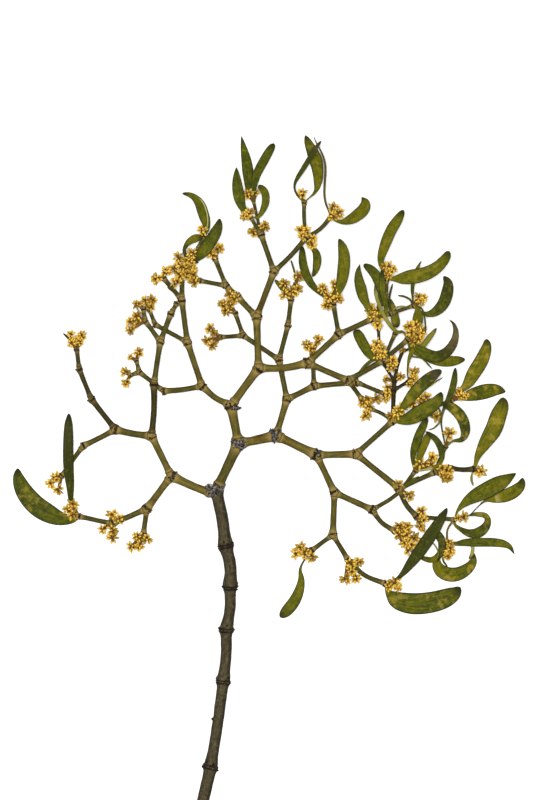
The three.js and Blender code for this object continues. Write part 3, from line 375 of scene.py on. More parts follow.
# Small leaves, leaves on edge and leaves that lie behind others, with no solid in the CAD
SMALL_LEAVES = [
    ("leaf_back_broad", "backTwig", [3, 5, 7.6, 9.2, 9.8, 9.6, 9, 7.2, 4.4], 10, [0.3, 0.3,
     0.5, 0.3, 0.25, 0.3], 0, "even",
     [(-52.4, 165, 36), (-48.8, 169.4, 37.4), (-43.2, 177.6, 37), (-38.8, 186.4, 36),
      (-37.6, 192.6, 35)]),
    ("leaf_back_folded", "backEnd", [1.2, 2.2, 2.8, 2.8, 3, 5.4, 7, 6.2], 15, [0.1, 0.1, 0,
     -0.1, 0.5, 0.88, 0.6], 0, "even",
     [(-62.1, 160.8, 34), (-64.2, 169.2, 34), (-60.6, 175.2, 34), (-55, 178.2, 33),
      (-50.2, 178.4, 32)]),
    ("leaf_top_small", "centreSide", 6.2, 15, 0.5, 0.1, "blunt",
     [(-9, 193.8, 33), (-5.4, 199, 34), (-3.3, 205.6, 34), (-4.2, 212.6, 34), (-8.6, 217.6, 32)]),
    ("leaf_top_fold", "backTwigEnd", 1.1, 0, 1, 0, "even",
     [(-46.6, 189.6, 31.4), (-47.6, 198.2, 34.6), (-50.6, 205.2, 36.6), (-54.6, 209.4, 37)]),
    ("leaf_crest_dark", "topRightUp", [1.4, 1.6, 1.8, 3.6, 4.2, 4.4, 3.8, 3], 18, [0.1,
     0.05, 0.1, 0.08, 0, -0.5], 0, "even",
     [(19.6, 211.3, 33), (18.1, 216.6, 34), (19.2, 220.7, 35), (23.6, 228, 36), (28.3, 235.4, 36),
      (32.9, 243.4, 36), (38.3, 250.8, 34)]),
    ("leaf_crest_edge", "topRightOut", [1.2, 1.6, 1.9, 2, 2, 1.7, 1.4, 1], 20, [0.1, -0.3,
     -0.5], 0.2, "even",
     [(44, 197.9, 36.5), (42, 202.6, 37), (40.6, 209.3, 37.4), (40.8, 219.3, 38),
      (41.4, 229.4, 38), (40.4, 236.7, 37.4), (37.6, 243.6, 36.6), (34.4, 249.6, 35.4),
      (32.6, 254.4, 34)]),
    ("leaf_crest_low", "topRight", [1.6, 2, 3, 5, 6.6, 7, 6.4, 5, 3.4], 20, [0.8, 0.6, 0.3,
     0.35, 0.4], 0.2, "even",
     [(28.4, 173.2, 33), (31.6, 171, 32.6), (34.4, 167.4, 32), (35.4, 161.8, 31.6),
      (34.4, 155, 31), (31.8, 149, 31)]),
    ("leaf_crest_left", "farHighUp", 7.6, 30, 0.3, 0.1, "strap",
     [(39, 135.6, 32), (30, 144.7, 31), (24.6, 158.4, 30), (23.9, 172.2, 30)]),
    ("leaf_bud_small", "budShootUp", 4.6, 20, 0.4, 0, "blade",
     [(9, 141, 27), (3.7, 147, 27)]),
    ("leaf_bud_edge", "budShootEnd", 1.6, 20, 0.3, 0, "even",
     [(18.4, 152, 29), (15.7, 161.5, 30)]),
    ("leaf_far_inner", "farHighOut", 4.9, 10, [0.6, 0.5, 0.3, 0.5, -0.1], 0.2, "strap",
     [(86.4, 122.9, 42), (83.8, 138.6, 46), (83.3, 154.4, 47)]),
    ("leaf_far_pale", "farEdgeUp", [1.6, 2.2, 2.8, 3, 3, 3, 2.6, 1.8], 0, [0.7, 0.6, 0.87,
     0.9, 0.88, 0.9, 0.85], 0.2, "even",
     [(99.4, 108.2, 36), (95.4, 107.4, 40), (90.6, 111.4, 43), (85.2, 119.5, 45),
      (81.6, 127.5, 46), (78.5, 137, 46.5), (78.3, 144.6, 46)]),
    ("leaf_far_tail", "farUpMid", [1.5, 3, 4.4, 5.4, 6.6, 7.2, 7], 10, [0.2, 0.3, 0.7, 0.6,
     0.3], 0.4, "even",
     [(90.1, 130, 31), (92.5, 122.9, 30), (95, 111, 30)]),
    ("leaf_far_dark", "farSideMid", 1.8, 20, 0.02, 0, "even",
     [(89.1, 133.4, 38), (91.5, 143.9, 39)]),
    ("leaf_far_sliver", "farSideMid", 1.6, 0, 0.9, 0, "blade",
     [(93.3, 125.5, 37.5), (98, 126.8, 38), (102.7, 126.5, 38.5)]),
    ("leaf_far_behind", "farHighOut", 8.2, 10, 0.35, 0, "strap",
     [(84, 134, 33), (79.6, 149, 35), (75.4, 154.4, 36), (69.8, 158.4, 36)]),
    ("leaf_curved_edge", "farSideEnd", [1.2, 1.4, 3, 3.2, 3.2, 2.8, 1.4], 20, [0.1, 0.1,
     0.2, 0.5, 0.8], 0, "even",
     [(106.6, 133.4, 36), (106.4, 141.8, 36), (109.6, 154.4, 36), (113.2, 161.2, 36)]),
    ("leaf_curved_tail", "farSideEnd", 1.7, 10, 0.2, 0, "even",
     [(104.5, 131.8, 41), (100, 134.2, 42), (95.4, 134.9, 42)]),
    ("leaf_curved_small", "farSideEnd", [2, 3, 5.4, 7.6, 8.6, 8.4, 6], 20, [0.4, 0.6, 0.7,
     0.5], 1, "even",
     [(109.9, 125.6, 39.6), (110.6, 121, 38), (110.4, 117, 36), (110, 112.6, 33)]),
    ("leaf_curved_line", "farSideEnd", 1.4, 20, 0.2, 0, "even",
     [(113, 125.5, 40), (115.7, 116, 41), (116, 107, 40)]),
    ("leaf_edge_pale", "farEdgeUp", 4.6, 15, 0.87, 0, "blade",
     [(112.7, 97.1, 37), (119, 103.9, 39.4), (124.3, 110.7, 40)]),
    ("leaf_edge_sliver", "farEdgeUp", 3.6, 15, 0.35, 0, "blade",
     [(113, 95.4, 38), (122.2, 92, 37)]),
    ("leaf_edge_down", "farEdgeUp", [2, 4.2, 4.4, 3, 1.6, 1.3, 1.2], 20, [0.8, 0.8, 0.6,
     0.3, 0.2], 0, "even",
     [(108.6, 97.4, 34), (105.4, 91.6, 33), (103.6, 86, 32), (102.8, 78, 32), (103.4, 71.6, 31)]),
    ("leaf_edge_thread", "farEdgeUp", 1.3, 10, 0.4, 0, "even",
     [(106, 90, 32), (113, 88.4, 31), (121.5, 80.2, 29)]),
    ("leaf_inner_face", "farEdge", 8.4, 15, 0.4, 0.1, "blunt",
     [(76.4, 88.9, 33), (73.3, 92.2, 33.6), (70.6, 97, 33), (67.5, 102.8, 31), (65.2, 107.4, 28),
      (64, 109.6, 26)]),
    ("leaf_inner_face_low", "farEdge", 3, 25, 0.4, 0.1, "blade",
     [(76.4, 86.5, 33), (66, 77.2, 32)]),
    ("leaf_side_dark", "sideHigh", 9.8, 12, [0.6, 0.5, 0.4, 0.1, -0.4], 0.5, "strap",
     [(100.1, 52.4, 30), (106.9, 61.3, 32.4), (115.4, 70.3, 33), (122.7, 76, 33),
      (128.3, 79.2, 33)]),
    ("leaf_side_shred", "sideHigh", 1.4, 10, 0.8, 0.3, "even",
     [(101, 52.6, 28.5), (112, 62, 30.5), (122, 69.3, 31), (129.6, 74, 31)]),
    ("leaf_outer_slim", "lowOutNorth", [1.2, 1.3, 1.3, 2, 4, 5.2, 5.4, 4], 10, [0.1, 0.1,
     -0.3, 0.1, 0.3, 0.2], 0.1, "even",
     [(128.6, 35.8, 26.5), (128.1, 40.6, 27), (129.5, 48.7, 27), (132.9, 56.4, 27.4),
      (135.9, 63.9, 28), (137.7, 71.3, 29), (138.7, 81.3, 29)]),
    ("leaf_outer_hook", "lowOutNorth", [1.4, 1.6, 4.4, 7.8, 9, 9, 8.6, 7], -20, [0.5, 0.4,
     -0.1, 0.1, 0.3, 0.4, 0.4], 0.9, "even",
     [(138, 26.8, 29), (142.5, 26.7, 30), (145.8, 31, 31), (146, 36.3, 31.6), (143.9, 43, 32),
      (139.6, 48.7, 32), (133.9, 52.5, 32), (129.1, 53.3, 31)]),
    ("leaf_north_arc", "sideOutMid", 1.4, 10, 0.5, 0, "even",
     [(121, 51.6, 26), (126.4, 50.8, 26.5), (127.6, 45.4, 27), (127.4, 41.5, 27),
      (125.2, 38.2, 27), (121.4, 35.3, 27), (118.5, 34.8, 26)]),
    ("leaf_inner_low", "bottomUnder", 6.2, 10, 0.75, 0, "blunt",
     [(112.3, 15.2, 20), (114.7, 21.5, 22), (117.1, 27.2, 23.4), (119.5, 32.9, 24)]),
    ("leaf_inner_curl", "bottomUnder", [1.6, 2, 2.4, 3, 5, 5.4, 5, 3.6], 15, [0.9, 0.95,
     0.95, 0.5, 0.1, 0.1, 0.15, 0.2], 0.1, "even",
     [(114.2, 4.5, 17), (120, 5.7, 21), (124.8, 7.6, 24), (128.1, 11.4, 26), (128.6, 16.7, 27),
      (127.2, 22.4, 28), (124.3, 27.2, 28.4), (120, 31, 28), (116.6, 33.4, 27)]),
    ("leaf_low_sliver", "lowOut", 2.4, 30, 0.4, 0, "blade",
     [(105.2, -3.9, 26), (111.4, -0.1, 27)]),
    ("leaf_lower_ring", "lowOutEnd", [1.6, 2.2, 3.4, 5.6, 7.8, 8.8, 7.2, 5.2, 4.4, 4, 3],
     15, [0.8, 0.7, 0.3, 0.1, 0.2, 0.3, 0, 0.3, 0.87, 0.87, 0.85], 0.4, "even",
     [(138.2, -36, 17), (144.9, -41, 13.6), (150.6, -43.2, 12.6), (156.4, -42.7, 12),
      (161.1, -39.3, 12), (163.4, -35, 12.4), (163.2, -31.4, 13), (160.6, -29.4, 13.4),
      (157.3, -29, 14), (153.5, -28.8, 14), (149.2, -30, 14)]),
    ("leaf_lower_curl", "lowOutEnd", [1, 1, 1, 2, 5.8, 6.6, 6, 4.8, 1.6], 10, 0.12, 0.2,
     "even",
     [(131, -33, 16), (126, -33.6, 13.4), (122, -39, 12.2), (125.1, -42.8, 12.2),
      (128.8, -48.1, 13.4), (129.1, -54.2, 14), (127.4, -60.9, 13.4), (125.8, -64.4, 12)]),
    ("leaf_lower_loop", "lowOutTip", [1, 2, 3, 4.4, 4.8, 4.4], 20, [0.2, 0.3, 0.7, 0.5,
     0.4], 0, "even",
     [(129.6, -53, 11), (126.4, -58.8, 10.6), (123.7, -62.1, 10.6), (120.4, -63.2, 11),
      (116.4, -62.4, 11.6), (113, -61.5, 11.6)]),
    ("leaf_lower_rim", "bottomOutEnd", 1.1, 0, 0.86, 0, "even",
     [(105, -45, 10.6), (115, -47.6, 11.4), (121.6, -49.8, 12.6), (125, -54, 15.6),
      (126.4, -58.4, 16), (124.8, -62.6, 15), (120.8, -65, 12.6), (115.6, -63.8, 12)]),
    ("leaf_lower_stalk", "lowOutTip", 1.5, 0, 0.15, 0, "even",
     [(131.6, -56, 12), (130, -62.9, 11), (133.5, -68.4, 8)]),
    ("leaf_lower_strip", "lowOutTip", [1, 1, 1, 1.6, 2.8, 3, 2], 0, 0.92, 0, "even",
     [(141.5, -50.4, 11.4), (148.5, -50.2, 11.4), (151.8, -52.4, 10.6), (152.2, -57.4, 9),
      (149.6, -62.8, 6.4)]),
    ("leaf_lower_strap", "lowOutTip", [1.4, 3.2, 6, 7, 7.2, 7.2, 6.6, 4.6, 1.4], 15, [0.1,
     0.25, 0.25, 0.3, 0.3, 0.4, 0.5, 0.2], 0.1, "even",
     [(139, -51, 13), (146, -50, 13), (153.5, -49.9, 13), (167.8, -49.9, 13), (175.4, -51, 12.4),
      (180.2, -53.4, 11.4), (183.8, -59, 10)]),
    ("leaf_back_small", "backTop", 2.6, 10, 0.5, 0, "blade",
     [(-71.4, 137.9, 27), (-77, 141.6, 26)]),
    ("leaf_outer_tongue", "lowOutFarEnd", 2, 10, 0.87, 1, "blade",
     [(151.4, 1, 19), (151.2, -3, 18), (152.6, -7.6, 17)]),
    ("leaf_left_tip", "armEnd", 2, 30, 0, 0, "blade",
     [(-149.6, 101.4, 15), (-155.7, 107.4, 15)]),
]

# Flowers: group, the fork they sit on, whether a CAD node stands for them, how brown they have gone
# from 0 to 1, and the places of the knots with, where it is not 1, a size.
FLOWERS = [
    ("flowers_left_end", "leftLowEnd", True, 0.25,
     [(-151.8, -25.5), (-148, -29.3), (-148.5, -21.6)]),
    ("flowers_left_bend", "leftLowBend", False, 0.35,
     [(-118.5, -29.2), (-113.5, -33), (-125.2, -39.7), (-118.5, -40.9), (-118.5, -46.5)]),
    ("flowers_left_drop", "leftDrop", False, 0.35,
     [(-100.1, -45.7), (-92.5, -47.5), (-98.2, -52.5), (-104, -53.2)]),
    ("flowers_arm_low", "armLowEnd", False, 0.25, [(-164.7, -5.4), (-159, -10.2), (-161, -1.5)]),
    ("flowers_arm_end", "armEnd", False, 0.15,
     [(-149.4, 106, 0.8), (-141, 105, 0.9), (-149, 99.8, 0.8), (-142.4, 100.6, 0.8),
      (-145.6, 102.4, 0.7)]),
    ("flowers_crest_side", "leftCrestSide", False, 0.35,
     [(-99.1, 119.5), (-104.2, 115.8, 0.9), (-104.2, 109.6, 0.9), (-99.6, 113.6, 0.6)]),
    ("flowers_cross", "crossUp", False, 0.3,
     [(-99.6, 128.4, 0.9), (-93.4, 131.2), (-88.6, 131.6), (-89.6, 126.8, 0.9)]),
    ("flowers_under_up", "underUp", False, 0.3, [(-98.6, 92.4, 0.95), (-104.6, 89, 0.65)]),
    ("flowers_under_out", "underOut", False, 0.4, [(-108.5, 78, 0.9), (-107.8, 70.2, 0.9)]),
    ("flowers_back_side", "backSide", False, 0.3, [(-85, 147.9), (-77.9, 152.9)]),
    ("flowers_back", "backEnd", True, 0.3,
     [(-68.5, 163.7), (-65.7, 156.5), (-71.4, 155.1), (-70.6, 145.2), (-58.5, 155.1),
      (-57.1, 147.9), (-62.8, 150.8), (-58.5, 166.6), (-62.6, 160.4), (-67, 150.4),
      (-60, 161.6, 0.9)]),
    ("flowers_inner_side", "innerSide", False, 0.3, [(-56.3, 145), (-57.5, 151.5)]),
    ("flowers_back_twig", "backTwigEnd", False, 0.3, [(-50.6, 184.2)]),
    ("flowers_inner_up", "innerUp", False, 0.3, [(-38.4, 170.1), (-44.1, 165.8)]),
    ("flowers_inner_low", "innerLow", False, 0.45, [(-26, 133.4), (-29.6, 136)]),
    ("flowers_inner_left", "rightBackUp", True, 0.35,
     [(-35.5, 128.5), (-29.8, 129.2), (-32.7, 123.5)]),
    ("flowers_back_out", "rightBackOut", False, 0.5,
     [(-44.6, 110.2), (-41.8, 107.2, 0.75), (-47, 101.6, 0.9), (-43.4, 97.9)]),
    ("flowers_centre_crest", "centreCrest", False, 0.4, [(-12.6, 182.5), (-4.2, 186.8)]),
    ("flowers_centre_side", "centreSide", False, 0.4, [(-15.6, 196.6), (-18.6, 194.5)]),
    ("flowers_centre_end", "centreEnd", False, 0.3, [(-16.3, 210.6), (-10.2, 212.4, 0.6)]),
    ("flowers_top_right", "topRight", False, 0.25,
     [(22.8, 184, 0.9), (27, 183.4, 0.9), (24.4, 179.4, 0.85), (31.6, 177.6, 0.85),
      (31, 173.4, 0.85)]),
    ("flowers_top_right_up", "topRightUp", False, 0.3, [(24.2, 211.3)]),
    ("flowers_top_right_out", "topRightOut", False, 0.3,
     [(47.3, 200.6), (51.4, 196.6), (47, 194.5)]),
    ("flowers_bud_up", "budShootUp", False, 0.3,
     [(10.8, 144), (16.5, 138.7), (20.2, 139.5), (11.2, 135.7)]),
    ("flowers_bud_end", "budShootEnd", False, 0.3, [(21.1, 149.2)]),
    ("flowers_low_fork", "lowForkUp", False, 0.25, [(27.7, 98.2), (36.4, 102), (31, 95)]),
    ("flowers_crest", "farHighUp", True, 0.2,
     [(39.7, 140.5), (48.3, 142.8), (44.2, 134.2), (50.5, 132.4), (42.5, 127.9)]),
    ("flowers_far_right", "farHighOut", True, 0.3,
     [(75.4, 125), (79.6, 123.6), (76, 119.6), (80.4, 118.6), (80.6, 113.6)]),
    ("flowers_far_top", "farUpEnd", True, 0.3,
     [(84.9, 156.6, 0.85), (88.7, 156.8, 0.85), (91.6, 154.6, 0.8), (87.8, 152.6, 0.9),
      (88.4, 149.8, 0.85)]),
    ("flowers_far_side", "farSideEnd", False, 0.3,
     [(110.7, 133.4, 0.85), (114.4, 133, 0.85), (112.6, 130.4, 0.85)]),
    ("flowers_edge", "farEdgeUp", True, 0.3,
     [(103.8, 112.1), (109.5, 113), (106.2, 107.2), (111.5, 105.9), (107.6, 101.1), (113.2, 108.7),
      (110.8, 102.7)]),
    ("flowers_far_edge", "farEdge", False, 0.05,
     [(80.2, 99), (77.9, 95.2), (82.5, 95.6), (83.6, 91.3), (79.5, 90.4)]),
    ("flowers_far_edge_low", "farEdge", False, 0.4, [(91.2, 86.2), (91, 82)]),
    ("flowers_side_right", "sideRightEnd", False, 0.25,
     [(107.4, 77.6), (106.8, 73), (104.6, 69.6, 0.8)]),
    ("flowers_side_top", "sideHighTop", False, 0.8, [(99.6, 94.2, 0.55)]),
    ("flowers_side_up", "sideHighUp", False, 0.5, [(97.9, 74.6, 0.8), (87.4, 72.7, 0.7)]),
    ("flowers_low_down", "farLowDown", False, 0.4, [(68.8, 55.5), (73, 57.5, 0.8), (79.3, 57.8)]),
    ("flowers_side_in", "sideHighIn", False, 0.45, [(71.6, 45.9), (73.5, 52.1)]),
    ("flowers_low_fork_end", "lowForkEnd", False, 0.1,
     [(88.6, 66), (88.6, 61.7), (86.4, 58.4, 0.8)]),
    ("flowers_side", "sideHigh", True, 0.35,
     [(96, 48.8), (94.1, 45.6), (90.6, 44.6), (99.4, 51.2)]),
    ("flowers_side_behind", "sideOutMid", False, 0.2, [(112.6, 57), (116.4, 58.4), (107.2, 53.4)]),
    ("flowers_outer", "sideOutEnd", False, 0.3,
     [(141, 63.4, 0.85), (142.6, 60, 0.8), (146.6, 60.4, 0.65)]),
    ("flowers_outer_low", "sideOutMid", False, 0.6, [(124.3, 44.4)]),
    ("flowers_low_out", "lowOut", False, 0.35, [(95.7, -6.7), (104.2, -14.5)]),
    ("flowers_low_out_down", "lowOutDown", False, 0.25,
     [(113.6, -26.3), (114.4, -32.6), (112.4, -37.6, 0.85), (115.2, -40.6, 0.45)]),
    ("flowers_low_out_end", "lowOutEnd", False, 0.3, [(145, -31), (140.8, -31.8, 0.75)]),
    ("flowers_low_out_tip", "lowOutTip", False, 0.35,
     [(134.6, -49.8, 0.8), (135.2, -55.8), (133.6, -60.2, 0.8)]),
    ("flowers_low_out_up", "lowOutUp", False, 0.6,
     [(128.8, 5.5), (133, 4.4), (129.6, -0.5), (133.2, -1)]),
    ("flowers_low_out_far", "lowOutFarEnd", False, 0.3, [(157.8, 3.8, 1.15)]),
    ("flowers_north", "lowOutNorth", False, 0.3, [(134.6, 31.6, 1.15)]),
    ("flowers_under_right", "bottomUnder", False, 0.4,
     [(111.8, 9.5, 1.2), (121.9, 13.8), (121, 9, 0.9)]),
    ("flowers_bottom_out", "bottomOutEnd", True, 0.35,
     [(97.5, -38), (103, -38.5), (96.5, -44), (102.5, -44), (108, -46.5), (101, -50), (106, -51.5),
      (104, -55.5)]),
    ("flowers_bottom_left", "bottomLowLeft", False, 0.35,
     [(22.8, -53.8), (19.6, -58.4), (26.4, -58.4), (31.2, -61)]),
    ("flowers_bottom_low", "bottomLowRight", True, 0.35,
     [(60.5, -65.5), (66.5, -65), (56.8, -77.3), (64.6, -76.7), (61, -71)]),
    ("flowers_bottom_end", "bottomEnd", False, 0.25,
     [(93.8, -80, 1.05), (89.2, -83, 0.9), (95.6, -83.6, 0.9)]),
]

# Forks where the bark carries crusts of grey lichen: the fork, where the patch lies from it, its
# half sizes across and along, and how many lobes it has
CRUSTS = [
    ("crown", (-0.8, 0.9), (7.2, 5.4), 150),
    ("leftFork", (0.5, 0.5), (2.6, 2.6), 18),
    ("middleFork", (0.5, -0.5), (5.6, 5.2), 100),
    ("rightFork", (-0.8, 0.3), (4.2, 6.1), 85),
    ("centreLow", (3.6, -1), (3.8, 2.8), 44),
    ("sideFork", (1.4, 1.4), (2.1, 3.1), 26),
]

# Lengths of shoot, by the fork they end at, whose bark is darker (up to 1) or paler (down to 0)
# than their girth would make it
DARK_TWIGS = {
    "farEdgeNorth": 1, "sideStub": 1, "sideHighUp": 1, "sideHighTop": 1, "sideTopArm": 1,
    "sideLeftEnd": 1, "sideRightEnd": 1, "lowOutFar": 0.8, "lowOutNorth": 0.8, "lowOutTip": 0,
    "leftTop": 0.84, "armBend": 0.38, "armHigh": 0.86, "armTop": 0.84, "armEnd": 0.8,
    "middleFork": 0.4, "centreLow": 0.15, "lowOutFarEnd": 0.9, "lowOutDown": 0.75,
    "bottomOutEnd": 0.6,
}

# Dormant buds on the main stem: height along it, which side, length, distance from its middle
STEM_BUDS = [
    (-218.5, -1, 1.1, 4.8), (-218.5, 1, 1.1, 4.8), (-183.8, -1, 2.1, 4), (-154.4, -1, 1.3, 4.8),
    (-154.4, 1, 1.1, 4.8), (-115.4, -1, 1.6, 5.2), (-115.4, 1, 1.8, 5.2), (-83.4, -1, 1.8, 5.2),
    (-83.4, 1, 1.6, 5.2), (-52.4, -1, 1.6, 5.1), (-52.4, 1, 1.7, 5.2),
]

# Radius of the wood at each fork. The left shoot leaves the crown a little below its middle.
END_RADIUS = {run[1]: run[2] for runs in SHOOTS.values() for run in runs}
END_RADIUS["crownLeft"] = 2.8

# What smoothing takes off the girth is given back here
OLD_GIRTH = 1.14
YOUNG_GIRTH = 1.2

# Sides of each kind of tube
STEM_SIDES, SHOOT_SIDES, LEAF_SIDES, STALK_SIDES, TEPAL_SIDES = 20, 12, 16, 8, 6
LEAF_RINGS = 28
STALK_RINGS = 3

# How uneven the wood is, and how many scars and lumps there are at a fork
STEM_WOBBLE, SHOOT_WOBBLE = 0.075, 0.08
STEM_LUMPS, SHOOT_LUMPS = 16, 14

FULL_TURN = 6.283
THIRD_TURN = 2.094

# Where the random draws of each kind of piece start
LICHEN_SEED, FLOWER_SEED = 11, 5

# How far the lobes of a rosette of lichen stray from its middle, as a share of the patch
ROSETTE_SPREAD = 0.19

# Stage, in metres
FLOOR_HALF = 8
KEY_PLACE, KEY_SIZE = (-0.04, 0.1, 4.2), 0.4
LIGHT_AIM = (0, 0.03, 0)
CAMERA_X, CAMERA_Y = -0.0026, 0.0582
VIEW_HEIGHT = 0.6
FOCUS_HEIGHT = 0.02
LENS_MM = 250

# ---------------------------------------------------------------- materials


class Recipe:
    """A material being put together from procedural nodes."""

    def __init__(self, name):
        self.material = bpy.data.materials.new(name)
        self.material.use_nodes = True
        self.tree = self.material.node_tree
        self.shader = self.tree.nodes["Principled BSDF"]

    def node(self, kind, inputs, out=0, **settings):
        """Add a node and hand back one of its outputs."""
        made = self.tree.nodes.new("ShaderNode" + kind)
        for key, value in settings.items():
            setattr(made, key, value)
        for socket, value in inputs.items():
            self.feed(made.inputs[socket], value)
        return made.outputs[out]

    def feed(self, socket, value):
        """Link an output to a socket, or set the socket to a constant."""
        if isinstance(value, bpy.types.NodeSocket):
            self.tree.links.new(value, socket)
        else:
            socket.default_value = value

    def where(self):
        return self.node("TexCoord", {}, "Object")

    def attribute(self, name):
        """The three numbers stored at each point under this name."""
        vector = self.node("Attribute", {}, "Vector", attribute_name=name)
        split = self.tree.nodes.new("ShaderNodeSeparateXYZ")
        self.tree.links.new(vector, split.inputs[0])
        return split.outputs["X"], split.outputs["Y"], split.outputs["Z"]

    def noise(self, scale, detail=3.0, roughness=0.55, vector=None):
        inputs = {"Scale": scale, "Detail": detail, "Roughness": roughness}
        inputs["Vector"] = vector or self.where()
        return self.node("TexNoise", inputs, "Fac")

    def math(self, operation, first, second=0.0, third=0.0, clamp=False):
        return self.node(
            "Math", {0: first, 1: second, 2: third}, 0, operation=operation, use_clamp=clamp
        )

    def band(self, value, low, high):
        """0 below low, 1 above high, smooth between."""
        inputs = {"Value": value, "From Min": low, "From Max": high}
        return self.node("MapRange", inputs, "Result", interpolation_type="SMOOTHSTEP")

    def spread(self, value, least, most):
        """The value, from 0 to 1, spread from least to most."""
        return self.node("MapRange", {"Value": value, "To Min": least, "To Max": most}, "Result")

    def part(self, value, low, high, most):
        """The same as band, but most instead of 1 at the top."""
        return self.math("MULTIPLY", self.band(value, low, high), most)

    def mix(self, share, first, second, blend="MIX"):
        inputs = {0: share, 6: first, 7: second}
        return self.node("Mix", inputs, 2, data_type="RGBA", blend_type=blend)

    def stain(self, share, base, colour):
        """The base, multiplied by the colour where share is 1."""
        return self.mix(share, base, self.mix(1.0, base, colour, "MULTIPLY"))

    def ramp(self, share, stops):
        made = self.tree.nodes.new("ShaderNodeValToRGB")
        self.tree.links.new(share, made.inputs[0])
        elements = made.color_ramp.elements
        while len(elements) < len(stops):
            elements.new(0.5)
        for element, (place, colour) in zip(elements, stops):
            element.position = place
            element.color = colour
        return made.outputs[0]

    def finish(self, colour, roughness, height, bump, distance, specular):
        """Join the colour, roughness and bump to the shader."""
        self.feed(self.shader.inputs["Base Color"], colour)
        self.feed(self.shader.inputs["Roughness"], roughness)
        self.shader.inputs["Specular IOR Level"].default_value = specular
        inputs = {"Strength": bump, "Distance": distance, "Height": height}
        normal = self.node("Bump", inputs, "Normal")
        self.feed(self.shader.inputs["Normal"], normal)
        return self.material


def rgba(colour):
    return (*colour, 1.0)


def shade(colour, factor):
    return (*(channel * factor for channel in colour), 1.0)


# Numbers that differ between the two kinds of bark: scale of the specks, tint of the blotches,
# strength of the tan shoulders, of the painted highlight along the crest and of the painted shade
# on the flanks, where the flank shade begins, range and strength of the pits, strength of the pale
# glints, spread and least of the ring scars, and strength and depth of the bump
BARKS = {
    "old": {
        "specks": 420, "blotch": (0.68, 0.6, 0.48, 1), "tan": 0.35, "crest": 0.35, "painted_flank_shade": 0.9,
        "flank_from": 0.45, "pits": (0.51, 0.64, 0.65), "glints": 0.6, "scar": (0.25, 0.75),
        "bump": 0.9, "depth": 0.001,
    },
    "young": {
        "specks": 900, "blotch": (0.78, 0.62, 0.3, 1), "tan": 0.85, "crest": 0.22, "painted_flank_shade": 0.75,
        "flank_from": 0.55, "pits": (0.56, 0.68, 0.35), "glints": 0.2, "scar": (0.5, 0.5),
        "bump": 0.5, "depth": 0.0003,
    },
}


def bark_material(name, colour, ring, shoulder, other, old):
    """Bark. On old bark other is the wood of the cut face, on young bark the darkest twigs."""
    kind = BARKS["old" if old else "young"]
    recipe = Recipe(name)
    dark, tan, change = recipe.attribute("mark")
    grain = recipe.node("Attribute", {}, "Vector", attribute_name="grain")
    sideways, upward, _ = recipe.attribute("round")
    streaks = recipe.noise(1.6, 5, 0.65, grain)
    blotch = recipe.noise(55, 4, 0.6)
    specks = recipe.noise(kind["specks"], 4, 0.7)
    breaks = recipe.band(recipe.noise(260, 3, 0.6), 0.34, 0.58)
    base = recipe.ramp(
        streaks, [(0.34, shade(colour, 0.5)), (0.5, rgba(colour)), (0.66, shade(colour, 1.6))]
    )
    if not old:
        # Thinner shoots are greener and darker, the oldest twigs nearly black
        base = recipe.stain(recipe.band(change, 0.0, 0.6), base, (0.5, 0.58, 0.55, 1))
        base = recipe.mix(recipe.band(change, 0.6, 1.0), base, rgba(other))
        faded = recipe.math("SUBTRACT", 1.0, recipe.band(change, 0.5, 1.1))
        tan = recipe.math("MULTIPLY", tan, faded)
    base = recipe.stain(recipe.band(blotch, 0.5, 0.75), base, kind["blotch"])
    base = recipe.mix(recipe.math("MULTIPLY", tan, kind["tan"]), base, rgba(shoulder))
    # Painted highlight along the middle of each tube and painted shade on its flanks, the shading
    # of a round stem lit from above
    off = recipe.math("ABSOLUTE", sideways)
    base = recipe.stain(recipe.part(off, 0.6, 0.0, kind["crest"]), base, (1.5, 1.45, 1.4, 1))
    painted_flank_shade = recipe.part(off, kind["flank_from"], 0.98, kind["painted_flank_shade"])
    base = recipe.stain(painted_flank_shade, base, (0.42, 0.36, 0.36, 1))
    # Painted shade on the underside of each tube
    base = recipe.mix(recipe.part(upward, 0.1, -0.5, 0.3), base, shade(colour, 0.4))
    # Painted shade down the right-hand flank of the main stem, as if lit from the left
    if old:
        base = recipe.stain(recipe.part(sideways, 0.15, 0.85, 0.7), base, (0.4, 0.36, 0.34, 1))
    base = recipe.mix(recipe.part(specks, *kind["pits"]), base, shade(colour, 0.3))
    base = recipe.mix(recipe.part(specks, 0.42, 0.34, kind["glints"]), base, shade(colour, 2.6))
    spread, least = kind["scar"]
    scar = recipe.math("MULTIPLY", dark, recipe.math("MULTIPLY_ADD", breaks, spread, least))
    base = recipe.mix(scar, base, rgba(ring))
    if old:
        base = recipe.mix(change, base, rgba(other))
    height = recipe.math("ADD", streaks, recipe.math("MULTIPLY", specks, 0.5))
    roughness = recipe.spread(streaks, 0.75, 0.55)
    return recipe.finish(base, roughness, height, kind["bump"], kind["depth"], 0.08)


